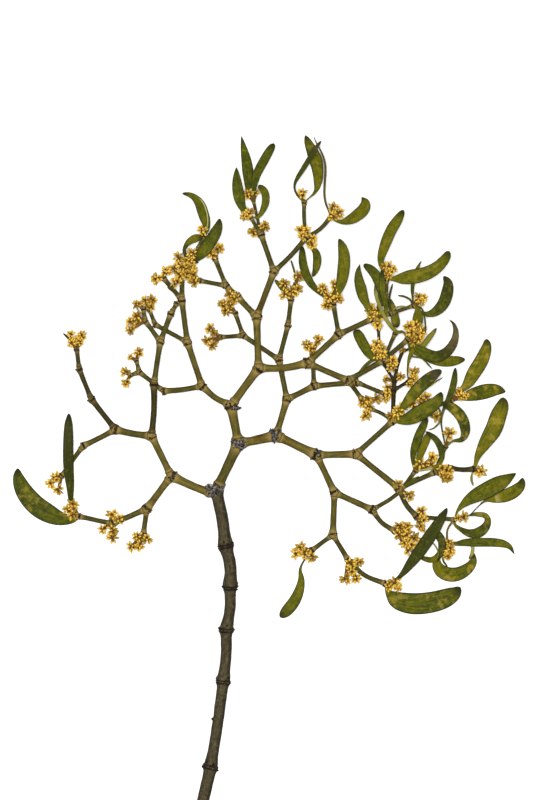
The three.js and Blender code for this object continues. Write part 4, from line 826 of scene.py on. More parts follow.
def leaf_material(name, dark, olive, yellow, pale, brown, withered):
    """Leathery blade; tone, age and place on the blade come from the mesh."""
    recipe = Recipe(name)
    across, along, seed = recipe.attribute("blade")
    tone, age, _ = recipe.attribute("mood")
    mottle = recipe.noise(230, 4, 0.65)
    fine = recipe.noise(900, 4, 0.65)

    # Streaks run the length of the blade
    lane = recipe.math("MULTIPLY_ADD", across, 8.0, seed)
    reach = recipe.math("MULTIPLY", along, 3.5)
    lanes = recipe.node("CombineXYZ", {0: lane, 1: reach, 2: seed}, "Vector")
    streak = recipe.noise(1.0, 5, 0.65, lanes)

    # The tone wanders with them, least on the darkest leaves
    spot = recipe.math("MULTIPLY", recipe.math("SUBTRACT", mottle, 0.5), 1.5)
    drawn = recipe.math("MULTIPLY_ADD", recipe.math("SUBTRACT", streak, 0.5), 1.9, spot)
    calm = recipe.math("MULTIPLY_ADD", recipe.band(tone, 0.0, 0.4), 0.6, 0.4)
    wander = recipe.math("ADD", tone, recipe.math("MULTIPLY", drawn, calm), clamp=True)
    tint = recipe.math("MINIMUM", wander, 0.9)
    base = recipe.ramp(tint, [(0.0, rgba(dark)), (0.4, rgba(olive)), (0.8, rgba(yellow))])
    base = recipe.mix(recipe.band(tone, 0.84, 0.98), base, rgba(pale))
    dry = recipe.mix(recipe.band(streak, 0.42, 0.6), rgba(withered), shade(withered, 0.5))
    dryness = recipe.math("MULTIPLY_ADD", streak, -0.3, tone)
    base = recipe.mix(recipe.band(dryness, -0.15, -0.4), base, dry)
    base = recipe.stain(recipe.band(fine, 0.35, 0.75), base, (0.62, 0.64, 0.56, 1))

    # Five veins, paler than the blade
    stripe = recipe.math("FRACT", recipe.math("MULTIPLY_ADD", across, 2.0, 10.5))
    vein = recipe.band(recipe.math("ABSOLUTE", recipe.math("SUBTRACT", stripe, 0.5)), 0.14, 0.0)
    base = recipe.mix(recipe.math("MULTIPLY", vein, 0.12), base, shade(yellow, 0.95))

    # Aged patches with rusty middles, dark flecks and small painted highlights
    patch = recipe.math("MULTIPLY", recipe.band(recipe.noise(150, 3, 0.6), 0.5, 0.64), age)
    base = recipe.mix(recipe.math("MULTIPLY", patch, 0.7), base, rgba(brown))
    core = recipe.math("MULTIPLY", recipe.band(patch, 0.6, 1.0), recipe.band(fine, 0.45, 0.55))
    rust = recipe.mix(1.0, rgba(brown), (0.8, 0.42, 0.25, 1), "MULTIPLY")
    base = recipe.mix(recipe.math("MULTIPLY", core, 0.6), base, rust)
    fleck = recipe.band(recipe.noise(480, 2, 0.5), 0.66, 0.74)
    fleck = recipe.math("MULTIPLY", fleck, recipe.math("MULTIPLY_ADD", age, 0.5, 0.4))
    base = recipe.mix(fleck, base, shade(brown, 0.25))
    # Painted highlights: small pale spots of sheen
    painted_glint = recipe.part(recipe.noise(420, 2, 0.5), 0.62, 0.72, 0.3)
    base = recipe.mix(painted_glint, base, shade(yellow, 1.7))

    # Yellower at the stalk, darker towards the edge with painted shade, and a thin dark rim
    base = recipe.mix(recipe.part(along, 0.16, 0.02, 0.55), base, shade(yellow, 1.15))
    off = recipe.math("ABSOLUTE", across)
    base = recipe.mix(recipe.part(off, 0.35, 0.9, 0.25), base, shade(dark, 0.9))
    edge = recipe.math("MAXIMUM", off, recipe.math("MULTIPLY", along, 0.96))
    base = recipe.mix(recipe.part(edge, 0.8, 0.95, 0.85), base, shade(dark, 0.45))

    height = recipe.math("MULTIPLY", vein, 0.7)
    height = recipe.math("ADD", recipe.math("MULTIPLY", fine, 0.6), height)
    height = recipe.math("ADD", height, recipe.math("MULTIPLY", streak, 0.8))
    roughness = recipe.spread(mottle, 0.58, 0.72)
    return recipe.finish(base, roughness, height, 0.4, 0.0003, 0.06)


def flower_material(name, gold, tip_colour, heart_colour):
    """Tepals, golden towards the tip and brown at the root."""
    recipe = Recipe(name)
    tip, heart, luck = recipe.attribute("petal")
    grain = recipe.noise(900, 3, 0.6)
    base = recipe.mix(recipe.band(tip, 0.15, 0.7), shade(gold, 0.28), rgba(gold))
    base = recipe.mix(recipe.band(tip, 0.5, 1.0), base, rgba(tip_colour))
    base = recipe.mix(recipe.part(luck, 0.3, 1.0, 0.8), base, shade(gold, 0.42))
    base = recipe.mix(recipe.part(grain, 0.52, 0.72, 0.5), base, shade(gold, 0.4))
    base = recipe.mix(heart, base, rgba(heart_colour))
    return recipe.finish(base, 0.6, grain, 0.4, 0.0003, 0.08)


def crust_material(name, colour):
    """Lichen, pale on its lobes and dark between them."""
    recipe = Recipe(name)
    grain = recipe.noise(520, 4, 0.75)
    base = recipe.ramp(
        grain, [(0.4, shade(colour, 0.14)), (0.52, shade(colour, 0.9)), (0.64, shade(colour, 4.5))]
    )
    return recipe.finish(base, 0.85, grain, 0.6, 0.0005, 0.1)


def floor_material(name, colour):
    """Plain paper."""
    recipe = Recipe(name)
    grain = recipe.noise(40, 2, 0.5)
    base = recipe.mix(recipe.math("MULTIPLY", grain, 0.02), rgba(colour), shade(colour, 0.96))
    return recipe.finish(base, 0.9, grain, 0.02, 0.0002, 0.0)


# ---------------------------------------------------------------- shaping


def spline(points, samples=64):
    """Points evenly spaced along a smooth curve through the given ones, and its length."""
    knots = [Vector(p) for p in points]
    knots = [knots[0] * 2 - knots[1], *knots, knots[-1] * 2 - knots[-2]]
    dense = []
    steps = 24
    for a, b, c, d in zip(knots, knots[1:], knots[2:], knots[3:]):
        t0 = 0.0
        t1 = t0 + math.sqrt((b - a).length)
        t2 = t1 + math.sqrt((c - b).length)
        t3 = t2 + math.sqrt((d - c).length)
        for k in range(steps):
            t = t1 + (t2 - t1) * k / steps
            ab = a.lerp(b, (t - t0) / (t1 - t0))
            bc = b.lerp(c, (t - t1) / (t2 - t1))
            cd = c.lerp(d, (t - t2) / (t3 - t2))
            abc = ab.lerp(bc, (t - t0) / (t2 - t0))
            bcd = bc.lerp(cd, (t - t1) / (t3 - t1))
            dense.append(abc.lerp(bcd, (t - t1) / (t2 - t1)))
    dense.append(knots[-2])
    reach = [0.0]
    for p, q in zip(dense, dense[1:]):
        reach.append(reach[-1] + (q - p).length)
    length = reach[-1]
    even = []
    k = 0
    for i in range(samples + 1):
        goal = length * i / samples
        while k < len(reach) - 2 and reach[k + 1] < goal:
            k += 1
        share = (goal - reach[k]) / max(reach[k + 1] - reach[k], 1e-9)
        even.append(dense[k].lerp(dense[k + 1], share))
    return even, length


class Line:
    """A curve that gives the place and the three directions at any distance along it."""

    def __init__(self, points):
        self.even, self.length = spline(points)

    def at(self, distance):
        count = len(self.even) - 1
        share = min(max(distance / self.length, 0.0), 1.0) * count
        k = min(int(share), count - 1)
        place = self.even[k].lerp(self.even[k + 1], share - k)
        before = self.even[max(k - 1, 0)]
        after = self.even[min(k + 2, count)]
        along = (after - before).normalized()
        beyond = distance - min(max(distance, 0.0), self.length)
        side = along.cross(Vector((0, 0, 1))).normalized()
        return place + along * beyond, along, side, side.cross(along)


def tube(bm, line, stations, sides, wobble, seed, change=0.0):
    """A closed tube along a line. A station is (distance, side radius, up radius, dark, tan)."""
    grain = bm.verts.layers.float_vector["grain"]
    marks = bm.verts.layers.float_vector["mark"]
    rounds = bm.verts.layers.float_vector["round"]
    for v, ring in grow_tube(bm, len(stations) - 1, sides):
        distance, wide, high, dark, tan = stations[ring]
        place, _, side, up = line.at(distance)
        x, y = v.co.x, v.co.y
        rough = 1 + wobble * noise.noise(Vector((x * 1.3 + seed, y * 1.3, distance * 0.22)))
        rough += 0.7 * wobble * noise.noise(Vector((x * 3.1, y * 3.1 + seed, distance * 0.9)))
        v.co = place + (side * x * wide + up * y * high) * rough
        v[grain] = (x * wide * 0.9 + seed, y * high * 0.9, distance * 0.09)
        v[marks] = (dark, tan, change)
        # Where the point lies round the tube, which the bark uses for its painted highlight and
        # painted shade
        v[rounds] = (x, y, 0)


def young_stations(length, r, parent):
    """Slim in the middle, a collar at the foot, a swollen shoulder at the far end."""
    foot = 1.12 * parent
    lip = foot + 0.3
    rows = [
        (-0.3 * parent, 0.6 * r, 0.55 * r, 0, 0.4),
        (0.5 * parent, 1.2 * r, 1.08 * r, 0, 0.9),
        (foot - 0.35, 1.24 * r, 1.1 * r, 0.3, 0.7),
        (foot, 1.28 * r, 1.14 * r, 0.8, 0.1),
        (lip, 1.34 * r, 1.2 * r, 0.2, 0.8),
        (lip + 0.5, 1.26 * r, 1.15 * r, 0, 0.7),
        (lip + 1.3, 1.1 * r, 1.06 * r, 0, 0.3),
    ]
    shaft_from = lip + 2.6
    shaft_to = max(shaft_from + 0.5, length - 4.4 * r)
    count = max(1, round((shaft_to - shaft_from) / 3.5))
    for k in range(count + 1):
        share = k / count
        waist = 0.95 + 0.05 * (2 * share - 1) ** 2
        rows.append((shaft_from + (shaft_to - shaft_from) * share, waist * r, waist * r, 0, 0))
    flare = [
        (3.2, 1.0, 1.0, 0, 0), (2.3, 1.05, 1.03, 0, 0.1), (1.6, 1.12, 1.08, 0, 0.4),
        (1.15, 1.22, 1.14, 0, 0.75), (0.85, 1.36, 1.22, 0.2, 0.8), (0.64, 1.48, 1.28, 0.8, 0.4),
        (0.42, 1.44, 1.26, 1, 0), (0.14, 1.38, 1.23, 1, 0), (-0.06, 1.48, 1.27, 0.5, 0.7),
        (-0.3, 1.36, 1.19, 0, 0.9), (-0.6, 1.08, 0.98, 0.2, 0.9), (-0.9, 0.66, 0.6, 0, 0.9),
    ]
    # The thinnest twigs hardly swell at all
    gain = min(max((r - 1.0) / 1.2, 0.45), 1.0)
    last = rows[-1][0]
    for back, wide, high, dark, tan in flare:
        distance = length - back * r
        if distance > last + 0.15:
            wide, high = (1 + (girth - 1) * (gain if girth > 1 else 1) for girth in (wide, high))
            rows.append((distance, wide * r, high * r, dark, tan))
            last = distance
    return rows


def old_stations(length, r, first):
    """Old wood: thick shaft, a double lip at the ring that ends it."""
    rows = [(0.0, r, r, 0, 0)] if first else [
        (-1.6, 0.7 * r, 0.7 * r, 0.6, 0), (-0.4, 1.14 * r, 1.08 * r, 1, 0),
        (0.8, 1.22 * r, 1.13 * r, 1, 0), (1.5, 1.25 * r, 1.15 * r, 0.3, 0.3),
        (2.4, 1.25 * r, 1.15 * r, 0, 0.3), (4, 1.2 * r, 1.12 * r, 0, 0.2),
        (6, 1.11 * r, 1.07 * r, 0, 0.1), (8.5, 1.04 * r, 1.03 * r, 0, 0),
    ]
    shaft_from = rows[-1][0] + 2.5
    shaft_to = length - 7.5
    count = max(2, round((shaft_to - shaft_from) / 2.4))
    for k in range(count + 1):
        rows.append((shaft_from + (shaft_to - shaft_from) * k / count, r, r, 0, 0))
    for back, wide, high, dark, tan in [
        (5, 1.04, 1.02, 0, 0), (3.4, 1.1, 1.06, 0, 0.2), (2.4, 1.17, 1.1, 0.1, 0.3),
        (2.0, 1.24, 1.15, 1, 0), (1.4, 1.28, 1.17, 1, 0), (0.9, 1.24, 1.14, 1, 0),
        (0.55, 1.26, 1.16, 0.3, 0.8), (0.2, 1.27, 1.16, 0.3, 0.8), (-0.1, 1.29, 1.17, 1, 0),
        (-0.7, 1.26, 1.15, 1, 0), (-1.3, 1.16, 1.08, 1, 0), (-2.0, 0.7, 0.7, 0.5, 0),
    ]:
        rows.append((length - back, wide * r, high * r, dark, tan))
    return rows


def new_bmesh(*layers):
    """An empty bmesh that stores three numbers at each point under each of these names."""
    bm = bmesh.new()
    for layer in layers:
        bm.verts.layers.float_vector.new(layer)
    return bm


def finish_piece(bm, name, material, cad_node=None, levels=1):
    """Turns the bmesh into an object in the frame, with its material and its ties to the CAD."""
    bmesh.ops.recalc_face_normals(bm, faces=bm.faces[:])
    bmesh.ops.transform(bm, matrix=TABLES_TO_FRAME, verts=bm.verts[:])
    for face in bm.faces:
        face.smooth = True
    mesh = bpy.data.meshes.new(name)
    bm.to_mesh(mesh)
    bm.free()
    mesh.materials.append(material)
    piece = bpy.data.objects.new(name, mesh)
    bpy.context.scene.collection.objects.link(piece)
    if levels:
        smooth = piece.modifiers.new("Smooth", "SUBSURF")
        smooth.levels = levels
        smooth.render_levels = levels
    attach(piece, "root")
    if cad_node:
        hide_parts(cad_node)
    return piece


def shoot_line(run):
    """The middle line of a length of shoot, bowed to its left where it has a bow."""
    start, end = Vector(AT[run[0]]), Vector(AT[run[1]])
    bow = run[3] if len(run) > 3 else 0.0
    leftward = Vector((start.y - end.y, end.x - start.x, 0)).normalized()
    middle = start.lerp(end, 0.5) + leftward * bow
    return Line([start, middle, end])


def add_bud(bm, place, out, size, mark):
    """A small blunt bud or stub that points outward."""
    grain = bm.verts.layers.float_vector["grain"]
    marks = bm.verts.layers.float_vector["mark"]
    turn = out.to_track_quat("Z", "Y").to_matrix()
    first = len(bm.verts)
    bmesh.ops.create_icosphere(bm, subdivisions=1, radius=1.1)
    for v in list(bm.verts)[first:]:
        slim = 0.75 - 0.2 * v.co.z
        v.co = place + turn @ Vector((v.co.x * slim * size, v.co.y * slim * size, v.co.z * size))
        v[grain] = v.co * 0.4
        v[marks] = mark


def add_lumps(bm, place, along, side, up, radius, count, rng, change):
    """Small scars and corky lumps on the upper half of a fork."""
    for _ in range(count):
        turn = rng.uniform(-1.8, 1.8)
        out = side * math.sin(turn) + up * math.cos(turn)
        spot = place + along * radius * rng.uniform(-0.45, 1.0)
        spot += (side * math.sin(turn) * 1.38 + up * math.cos(turn) * 1.2) * radius
        is_scar = rng.random() < 0.6
        mark = (1, 0, change) if is_scar else (0, 1, change)
        add_bud(bm, spot, out, radius * rng.uniform(0.18, 0.4), mark)


def build_shoot(name, old):
    """Every length of one shoot, with its buds, scars and lumps."""
    bm = new_bmesh("grain", "mark", "round")
    rng = random.Random(len(name))
    for index, run in enumerate(SHOOTS[name]):
        line = shoot_line(run)
        seed = index * 3.7 + len(name)
        if old:
            stations = old_stations(line.length, run[2] * OLD_GIRTH, run[0] == "cut")
            tube(bm, line, stations, STEM_SIDES, STEM_WOBBLE, seed)
            continue
        parent = END_RADIUS[run[0]]
        radius = run[2] * YOUNG_GIRTH
        stations = young_stations(line.length, radius, parent * YOUNG_GIRTH)
        thin = DARK_TWIGS.get(run[1], min(max((2.4 - run[2]) / 1.4, 0.0), 0.66))
        tube(bm, line, stations, SHOOT_SIDES, SHOOT_WOBBLE, seed, thin)
        # Buds on both sides of the swollen end, and scars and corky lumps round it
        place, along, side, up = line.at(line.length - 0.4 * radius)
        for hand in (-1, 1):
            out = side * hand + along * rng.uniform(0.3, 0.9) + up * rng.uniform(-0.2, 0.5)
            out.normalize()
            size = radius * rng.uniform(0.4, 0.62)
            add_bud(bm, place + out * radius * 1.3, out, size, (rng.uniform(0.3, 1.0), 0.5, thin))
        girth = radius * min(1, 0.7 + radius / 8)
        add_lumps(bm, place, along, side, up, girth, SHOOT_LUMPS, rng, thin)
    if old:
        spine = Line([AT["cut"]] + [AT[run[1]] for run in SHOOTS[name]])
        for level, hand, size, reach in STEM_BUDS:
            near = min(range(len(spine.even)), key=lambda k: abs(spine.even[k].y - level))
            place, along, side, up = spine.at(near / (len(spine.even) - 1) * spine.length)
            place += along * (level - place.y)
            out = (side * hand + along * 0.5 + up * 0.3).normalized()
            add_bud(bm, place + side * hand * reach, out, size, (0.85, 0.1, 0))
        for run in SHOOTS[name][:-1]:
            line = shoot_line(run)
            place, along, side, up = line.at(line.length)
            add_lumps(bm, place, along, side, up, run[2] * OLD_GIRTH * 0.88, STEM_LUMPS, rng, 0)
        # The cut face: a rim of bark round paler wood
        face = min(bm.faces, key=lambda f: f.calc_center_median().y)
        marks = bm.verts.layers.float_vector["mark"]
        for thickness in (0.35, 1.2):
            bmesh.ops.inset_region(bm, faces=[face], thickness=thickness, use_even_offset=True)
            for v in face.verts:
                v[marks] = (0.5 if thickness > 1 else 0, 0, 1)
    return bm


# Leaf outlines: where the blade is widest, its width at the stalk, how fast it widens, and the two
# exponents that make its tip blunt
OUTLINES = {
    "blade": (0.56, 0.16, 1.0, (2.2, 0.55)),
    "strap": (0.6, 0.16, 0.8, (3.0, 0.52)),
    "blunt": (0.6, 0.16, 0.7, (4.5, 0.5)),
    "lance": (0.48, 0.16, 0.8, (1.8, 0.8)),
    "broad": (0.46, 0.13, 0.6, (2.4, 0.6)),
    "even": (0.04, 0.7, 1.0, (12.0, 0.5)),
}


def outline(share, kind):
    """Width of a leaf as a share of its greatest, from the stalk at 0 to the tip at 1."""
    widest, base, speed, (fullness, bluntness) = OUTLINES[kind]
    if share < widest:
        rise = share / widest
        return base + (1 - base) * (rise * rise * (3 - 2 * rise)) ** speed
    fall = min((share - widest) / (1 - widest), 1.0)
    return (1 - fall ** fullness) ** bluntness


def spread_value(values, share):
    """A number that may be given once or as a list spaced along the leaf."""
    if not isinstance(values, (list, tuple)):
        return values
    place = min(max(share, 0.0), 1.0) * (len(values) - 1)
    k = min(int(place), len(values) - 2)
    return values[k] + (values[k + 1] - values[k]) * (place - k)


def grow_tube(bm, steps, segments):
    """A closed cylinder whose new corners are handed back with the number of their ring."""
    verts_before, edges_before = len(bm.verts), len(bm.edges)
    bmesh.ops.create_cone(
        bm, cap_ends=True, cap_tris=False, segments=segments, radius1=1, radius2=1, depth=steps
    )
    new_edges = list(bm.edges)[edges_before:]
    lengthwise = [e for e in new_edges if abs(e.verts[0].co.z - e.verts[1].co.z) > 0.5]
    bmesh.ops.subdivide_edges(bm, edges=lengthwise, cuts=steps - 1, use_grid_fill=True)
    return [(v, round(v.co.z + steps / 2)) for v in list(bm.verts)[verts_before:]]


def build_leaf(row, thickness, cup, seed):
    """One closed blade along its middle line, with its edges raised and its face rippled."""
    _, fork, width, roll, tone, age, kind, points = row
    line = Line([AT[fork], *points])
    bm = new_bmesh("blade", "mood")
    blade = bm.verts.layers.float_vector["blade"]
    mood = bm.verts.layers.float_vector["mood"]
    for v, ring in grow_tube(bm, LEAF_RINGS, LEAF_SIDES):
        # The rings lie closer together towards the tip
        share = 1 - (1 - ring / LEAF_RINGS) ** 1.35
        place, along, side, up = line.at(share * line.length)
        twist = Matrix.Rotation(math.radians(spread_value(roll, share)), 3, along)
        side, up = twist @ side, twist @ up
        half = spread_value(width, share) / 2 * max(outline(share, kind), 0.03)
        s = v.co.x
        face = math.copysign(abs(v.co.y) ** 0.7, v.co.y)
        ripple = 0.06 * half * noise.noise(Vector((share * 4 + seed, s * 0.8, seed)))
        lift = cup * half * (s * s - 0.4) + ripple
        thick = thickness / 2 * min(1.0, 0.4 + half / 2.2)
        v.co = place + side * (s * half) + up * (lift + face * thick)
        v[blade] = (s, share, seed)
        v[mood] = (spread_value(tone, share), age, 0)
    return bm


# Rings of a tepal: how far along it, how wide, and how far it curls back towards the axis
TEPAL = [(0.0, 0.5, 0.0), (0.3, 0.9, 0.0), (0.62, 1.0, 0.04), (0.86, 0.72, 0.12), (1.0, 0.2, 0.22)]

# Rings of a floret's cup: radius and height against the size of the floret, and how dark
CUP = [(0.5, -1.8, 0.4), (1.0, -1.0, 0.3), (1.2, 0.1, 0.6), (0.95, 0.5, 1.0), (0.3, 0.3, 1.0)]


def add_tepal(bm, root, axis, out, length, width, luck):
    """A thick pointed tepal that leans from its floret's axis."""
    petal = bm.verts.layers.float_vector["petal"]
    side = axis.cross(out).normalized()
    normal = out.cross(side).normalized()
    for v, ring in grow_tube(bm, len(TEPAL) - 1, TEPAL_SIDES):
        share, spread, curl = TEPAL[ring]
        middle = root + (out * share + axis * curl) * length
        thick = spread * (0.9 if v.co.y < 0 else 0.5)
        v.co = middle + side * (v.co.x * width / 2 * spread) + normal * (v.co.y * width / 2 * thick)
        v[petal] = (share, max(0.0, 0.75 - 2.6 * share), luck)


def add_floret(bm, place, axis, size, luck, rng):
    """Four or five tepals round a small dark cup."""
    petal = bm.verts.layers.float_vector["petal"]
    side = axis.orthogonal().normalized()
    other = axis.cross(side)
    for v, ring in grow_tube(bm, len(CUP) - 1, STALK_SIDES):
        wide, high, heart = CUP[ring]
        v.co = place + axis * (high * size) + (side * v.co.x + other * v.co.y) * (wide * size)
        v[petal] = (0.1, heart, luck)
    count = rng.choice((4, 4, 4, 5))
    turn = rng.uniform(0, FULL_TURN)
    for k in range(count):
        angle = turn + k * FULL_TURN / count + rng.uniform(-0.15, 0.15)
        sideways = side * math.cos(angle) + other * math.sin(angle)
        lean = rng.uniform(0.5, 0.95)
        out = (axis * math.cos(lean) + sideways * math.sin(lean)).normalized()
        root = place + sideways * 0.6 * size
        length, width = size * rng.uniform(2.9, 3.8), size * rng.uniform(2.0, 2.6)
        add_tepal(bm, root, axis, out, length, width, luck)


def build_flowers(row, size, rng):
    """Each place in the group gets a knot of three or four florets, on a stalk if it is far out."""
    _, fork, _, brown, places = row
    bm = new_bmesh("petal")
    root = Vector(AT[fork])
    for x, y, *given in places:
        knot = size * (given[0] if given else 1.0)
        outward = Vector((x - root.x, y - root.y, 0))
        reach = outward.length
        lean = outward.normalized() if reach > 0.5 else Vector((0, 0, 0))
        direction = lean * rng.uniform(0.2, 0.5)
        direction += Vector((rng.uniform(-0.2, 0.2), rng.uniform(-0.2, 0.2), 1))
        direction.normalize()
        place = Vector((x, y, root.z + rng.uniform(0, 2)))
        first = direction.orthogonal().normalized()
        turn = rng.uniform(0, FULL_TURN)
        for k in range(4 if rng.random() < 0.4 else 3):
            # Three lean outwards, the fourth stands in the middle
            around = Matrix.Rotation(turn + k * THIRD_TURN, 3, direction) @ first
            tilt = rng.uniform(0.85, 1.3) if k < 3 else 0.2
            axis = (direction * math.cos(tilt) + around * math.sin(tilt)).normalized()
            luck = min(max(brown + rng.uniform(-0.3, 0.6), 0.0), 1.0)
            spot = place + axis * 1.45 * knot
            add_floret(bm, spot, axis, knot * rng.uniform(0.85, 1.0), luck, rng)
        if reach > 2.0:
            add_stalk(bm, Line([root, root.lerp(place, 0.5), place]))
    return bm


def add_stalk(bm, line):
    """The short stalk that joins a knot of florets to its fork."""
    petal = bm.verts.layers.float_vector["petal"]
    for v, ring in grow_tube(bm, STALK_RINGS, STALK_SIDES):
        place, _, side, up = line.at(ring / STALK_RINGS * line.length)
        radius = 1.15 + 0.2 * ring / STALK_RINGS
        v.co = place + (side * v.co.x + up * v.co.y) * radius
        v[petal] = (0, 0.6, 0.8)


# ---------------------------------------------------------------- properties


def swatch(name, description, default):
    """A colour setting."""
    return bpy.props.FloatVectorProperty(
        name=name, description=description, default=default, subtype="COLOR", size=3, min=0, max=1
    )


class SprigWood(bpy.types.PropertyGroup):
    """Colours of the wood and of what grows on it."""

    young: swatch("Young bark", "Colour of the young shoots", (0.095, 0.075, 0.012))
    old: swatch("Old bark", "Colour of the main stem", (0.056, 0.045, 0.022))
    ring: swatch("Rings", "Colour of the scars at the forks", (0.01, 0.006, 0.005))
    twig: swatch("Dark twigs", "Colour of the darkest twigs", (0.022, 0.017, 0.005))
    wood: swatch("Cut wood", "Colour of the wood at the cut", (0.42, 0.33, 0.16))
    shoulder: swatch("Shoulders", "Colour of the swellings below the forks", (0.3, 0.21, 0.06))
    lichen: swatch("Lichen", "Colour of the crusts at the oldest forks", (0.086, 0.075, 0.064))


class SprigLeaves(bpy.types.PropertyGroup):
    """Sizes and colours of the leaves."""

    thickness: bpy.props.FloatProperty(
        name="Thickness", description="Thickness of a leaf in millimetres",
        default=1.1, min=0.4, max=2,
    )
    cup: bpy.props.FloatProperty(
        name="Cup", description="How far the edges rise, as a share of the half width",
        default=0.16, min=0, max=1, subtype="FACTOR",
    )
    dark: swatch("Dark green", "Colour of the darkest leaves", (0.032, 0.036, 0.006))
    olive: swatch("Olive green", "Colour of most leaves", (0.072, 0.084, 0.004))
    yellow: swatch("Yellow olive", "Colour of the palest leaves", (0.15, 0.13, 0.004))
    pale: swatch("Pale green", "Colour of undersides and worn blades", (0.42, 0.38, 0.13))
    brown: swatch("Aged patches", "Colour of the aged patches", (0.33, 0.24, 0.03))
    withered: swatch("Withered", "Colour of withered tips and edges", (0.11, 0.085, 0.04))


class SprigFlowers(bpy.types.PropertyGroup):
    """Sizes and colours of the flowers."""

    size: bpy.props.FloatProperty(
        name="Size", description="Size of a flower against its usual one",
        default=1.0, min=0.5, max=1.5, subtype="FACTOR",
    )
    gold: swatch("Gold", "Colour of the tepals", (0.5, 0.28, 0.03))
    tip: swatch("Tips", "Colour of the tepal tips", (0.8, 0.54, 0.09))
    heart: swatch("Heart", "Colour inside and below a flower", (0.05, 0.016, 0.005))


class SprigStage(bpy.types.PropertyGroup):
    """Floor and light."""

    floor: swatch("Floor", "Colour of the floor", (0.94, 0.94, 0.93))
    key: bpy.props.FloatProperty(
        name="Key light", description="Power of the main light in watts",
        default=205, min=0, max=1000,
    )
    sky: bpy.props.FloatProperty(
        name="Sky", description="Strength of the even light from all round",
        default=0.38, min=0, max=5,
    )


# ---------------------------------------------------------------- operators


class SPRIG_OT_wood(bpy.types.Operator):
    """Build the main stem and every young shoot"""

    bl_idname = "sprig.wood"
    bl_label = "Stem and Shoots"

    def execute(self, context):
        looks = context.scene.sprig_wood
        young = bark_material(
            "young_bark", looks.young, looks.ring, looks.shoulder, looks.twig, False
        )
        crest = shade(looks.old, 2.2)[:3]
        old = bark_material("old_bark", looks.old, looks.ring, crest, looks.wood, True)
        for name in SHOOTS:
            is_old = name == "stem_main"
            bm = build_shoot(name, is_old)
            material, slot = (old, "old_bark") if is_old else (young, "young_bark")
            finish_piece(bm, name + "_bark", material, name)
        return {"FINISHED"}


class SPRIG_OT_lichen(bpy.types.Operator):
    """Build the crusts of lichen on the oldest forks"""

    bl_idname = "sprig.lichen"
    bl_label = "Lichen Crusts"

    def execute(self, context):
        material = crust_material("lichen", context.scene.sprig_wood.lichen)
        rng = random.Random(LICHEN_SEED)
        for fork, (shift_x, shift_y), (half_x, half_y), count in CRUSTS:
            bm = bmesh.new()
            top = 1.55 * END_RADIUS[fork]
            rosettes = [
                (rng.uniform(-0.8, 0.8), rng.uniform(-0.8, 0.8)) for _ in range(3 + count // 12)
            ]
            for _ in range(count):
                verts_before = len(bm.verts)
                bmesh.ops.create_icosphere(bm, subdivisions=2, radius=rng.uniform(0.3, 1.0))
                middle_x, middle_y = rng.choice(rosettes)
                x = min(max(rng.gauss(middle_x, ROSETTE_SPREAD), -1.0), 1.0)
                y = min(max(rng.gauss(middle_y, ROSETTE_SPREAD), -1.0), 1.0)
                dome = math.sqrt(max(1.1 - x * x - y * y, 0.05))
                spot = Vector((shift_x + x * half_x, shift_y + y * half_y, top * dome))
                seed = Vector((rng.uniform(0, 50), 0, 0))
                for v in list(bm.verts)[verts_before:]:
                    v.co *= 1 + 1.3 * noise.noise(v.co * 2.2 + seed)
                    v.co += Vector(AT[fork]) + spot
            finish_piece(bm, f"lichen_{fork}", material, None, 0)
        return {"FINISHED"}


class SPRIG_OT_leaves(bpy.types.Operator):
    """Build every leaf"""

    bl_idname = "sprig.leaves"
    bl_label = "Leaves"

    def execute(self, context):
        looks = context.scene.sprig_leaves
        material = leaf_material(
            "leaf_skin", looks.dark, looks.olive, looks.yellow, looks.pale, looks.brown,
            looks.withered,
        )
        for index, row in enumerate(LEAVES + SMALL_LEAVES):
            bm = build_leaf(row, looks.thickness, looks.cup, index * 1.7)
            cad_node = row[0] if index < len(LEAVES) else None
            finish_piece(bm, row[0] + "_blade", material, cad_node)
        return {"FINISHED"}


class SPRIG_OT_flowers(bpy.types.Operator):
    """Build every group of flowers"""

    bl_idname = "sprig.flowers"
    bl_label = "Flowers"

    def execute(self, context):
        looks = context.scene.sprig_flowers
        material = flower_material("tepals", looks.gold, looks.tip, looks.heart)
        rng = random.Random(FLOWER_SEED)
        for row in FLOWERS:
            bm = build_flowers(row, looks.size, rng)
            finish_piece(bm, row[0] + "_bloom", material, row[0] if row[2] else None, 0)
        return {"FINISHED"}


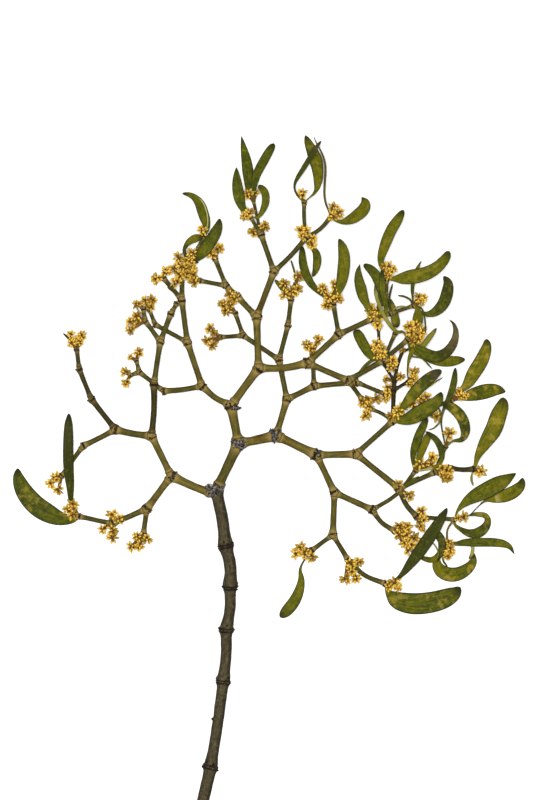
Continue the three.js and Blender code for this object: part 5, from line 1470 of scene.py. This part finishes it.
class SPRIG_OT_stage(bpy.types.Operator):
    """Build the floor, the lights and the camera"""

    bl_idname = "sprig.stage"
    bl_label = "Stage"

    def execute(self, context):
        looks = context.scene.sprig_stage
        scene = context.scene
        bm = bmesh.new()
        bmesh.ops.create_grid(bm, x_segments=4, y_segments=4, size=FLOOR_HALF)
        mesh = bpy.data.meshes.new("floor")
        bm.to_mesh(mesh)
        bm.free()
        mesh.materials.append(floor_material("floor_paper", looks.floor))
        floor = bpy.data.objects.new("floor", mesh)
        scene.collection.objects.link(floor)

        world = bpy.data.worlds.new("studio")
        world.use_nodes = True
        background = world.node_tree.nodes["Background"]
        background.inputs["Color"].default_value = (1, 1, 1, 1)
        background.inputs["Strength"].default_value = looks.sky
        scene.world = world

        light = bpy.data.lights.new("key", "AREA")
        light.shape = "SQUARE"
        light.size = KEY_SIZE
        light.energy = looks.key
        key = bpy.data.objects.new("key", light)
        key.location = KEY_PLACE
        aim = Vector(LIGHT_AIM) - Vector(KEY_PLACE)
        key.rotation_euler = aim.to_track_quat("-Z", "Y").to_euler()
        key.visible_camera = False
        scene.collection.objects.link(key)

        lens = bpy.data.cameras.new("camera")
        lens.lens = LENS_MM
        lens.clip_end = 50
        camera = bpy.data.objects.new("camera", lens)
        distance = VIEW_HEIGHT * lens.lens / lens.sensor_width
        camera.location = (CAMERA_X, CAMERA_Y, FOCUS_HEIGHT + distance)
        scene.collection.objects.link(camera)
        scene.camera = camera
        scene.view_settings.view_transform = "Standard"
        scene.view_settings.look = "None"
        return {"FINISHED"}


class SPRIG_PT_panel(bpy.types.Panel):
    """Sprig panel in the sidebar"""

    bl_idname = "SPRIG_PT_panel"
    bl_label = "Mistletoe Sprig"
    bl_space_type = "VIEW_3D"
    bl_region_type = "UI"
    bl_category = "Sprig"

    def draw(self, context):
        for operator in OPERATORS:
            self.layout.operator(operator.bl_idname)
        for group in GROUPS:
            looks = getattr(context.scene, group)
            for key in looks.bl_rna.properties.keys():
                if key not in ("rna_type", "name"):
                    self.layout.prop(looks, key)


OPERATORS = (SPRIG_OT_wood, SPRIG_OT_lichen, SPRIG_OT_leaves, SPRIG_OT_flowers, SPRIG_OT_stage)
GROUPS = {
    "sprig_wood": SprigWood,
    "sprig_leaves": SprigLeaves,
    "sprig_flowers": SprigFlowers,
    "sprig_stage": SprigStage,
}
CLASSES = (*GROUPS.values(), *OPERATORS, SPRIG_PT_panel)


def register():
    """Make the classes and settings known to Blender."""
    for cls in CLASSES:
        bpy.utils.register_class(cls)
    for name, group in GROUPS.items():
        setattr(bpy.types.Scene, name, bpy.props.PointerProperty(type=group))


def unregister():
    """Take them away again."""
    for name in GROUPS:
        delattr(bpy.types.Scene, name)
    for cls in reversed(CLASSES):
        bpy.utils.unregister_class(cls)


def main():
    """Build everything."""
    register()
    for name in ("stage", "wood", "lichen", "leaves", "flowers"):
        getattr(bpy.ops.sprig, name)()


if __name__ == "__main__":
    main()
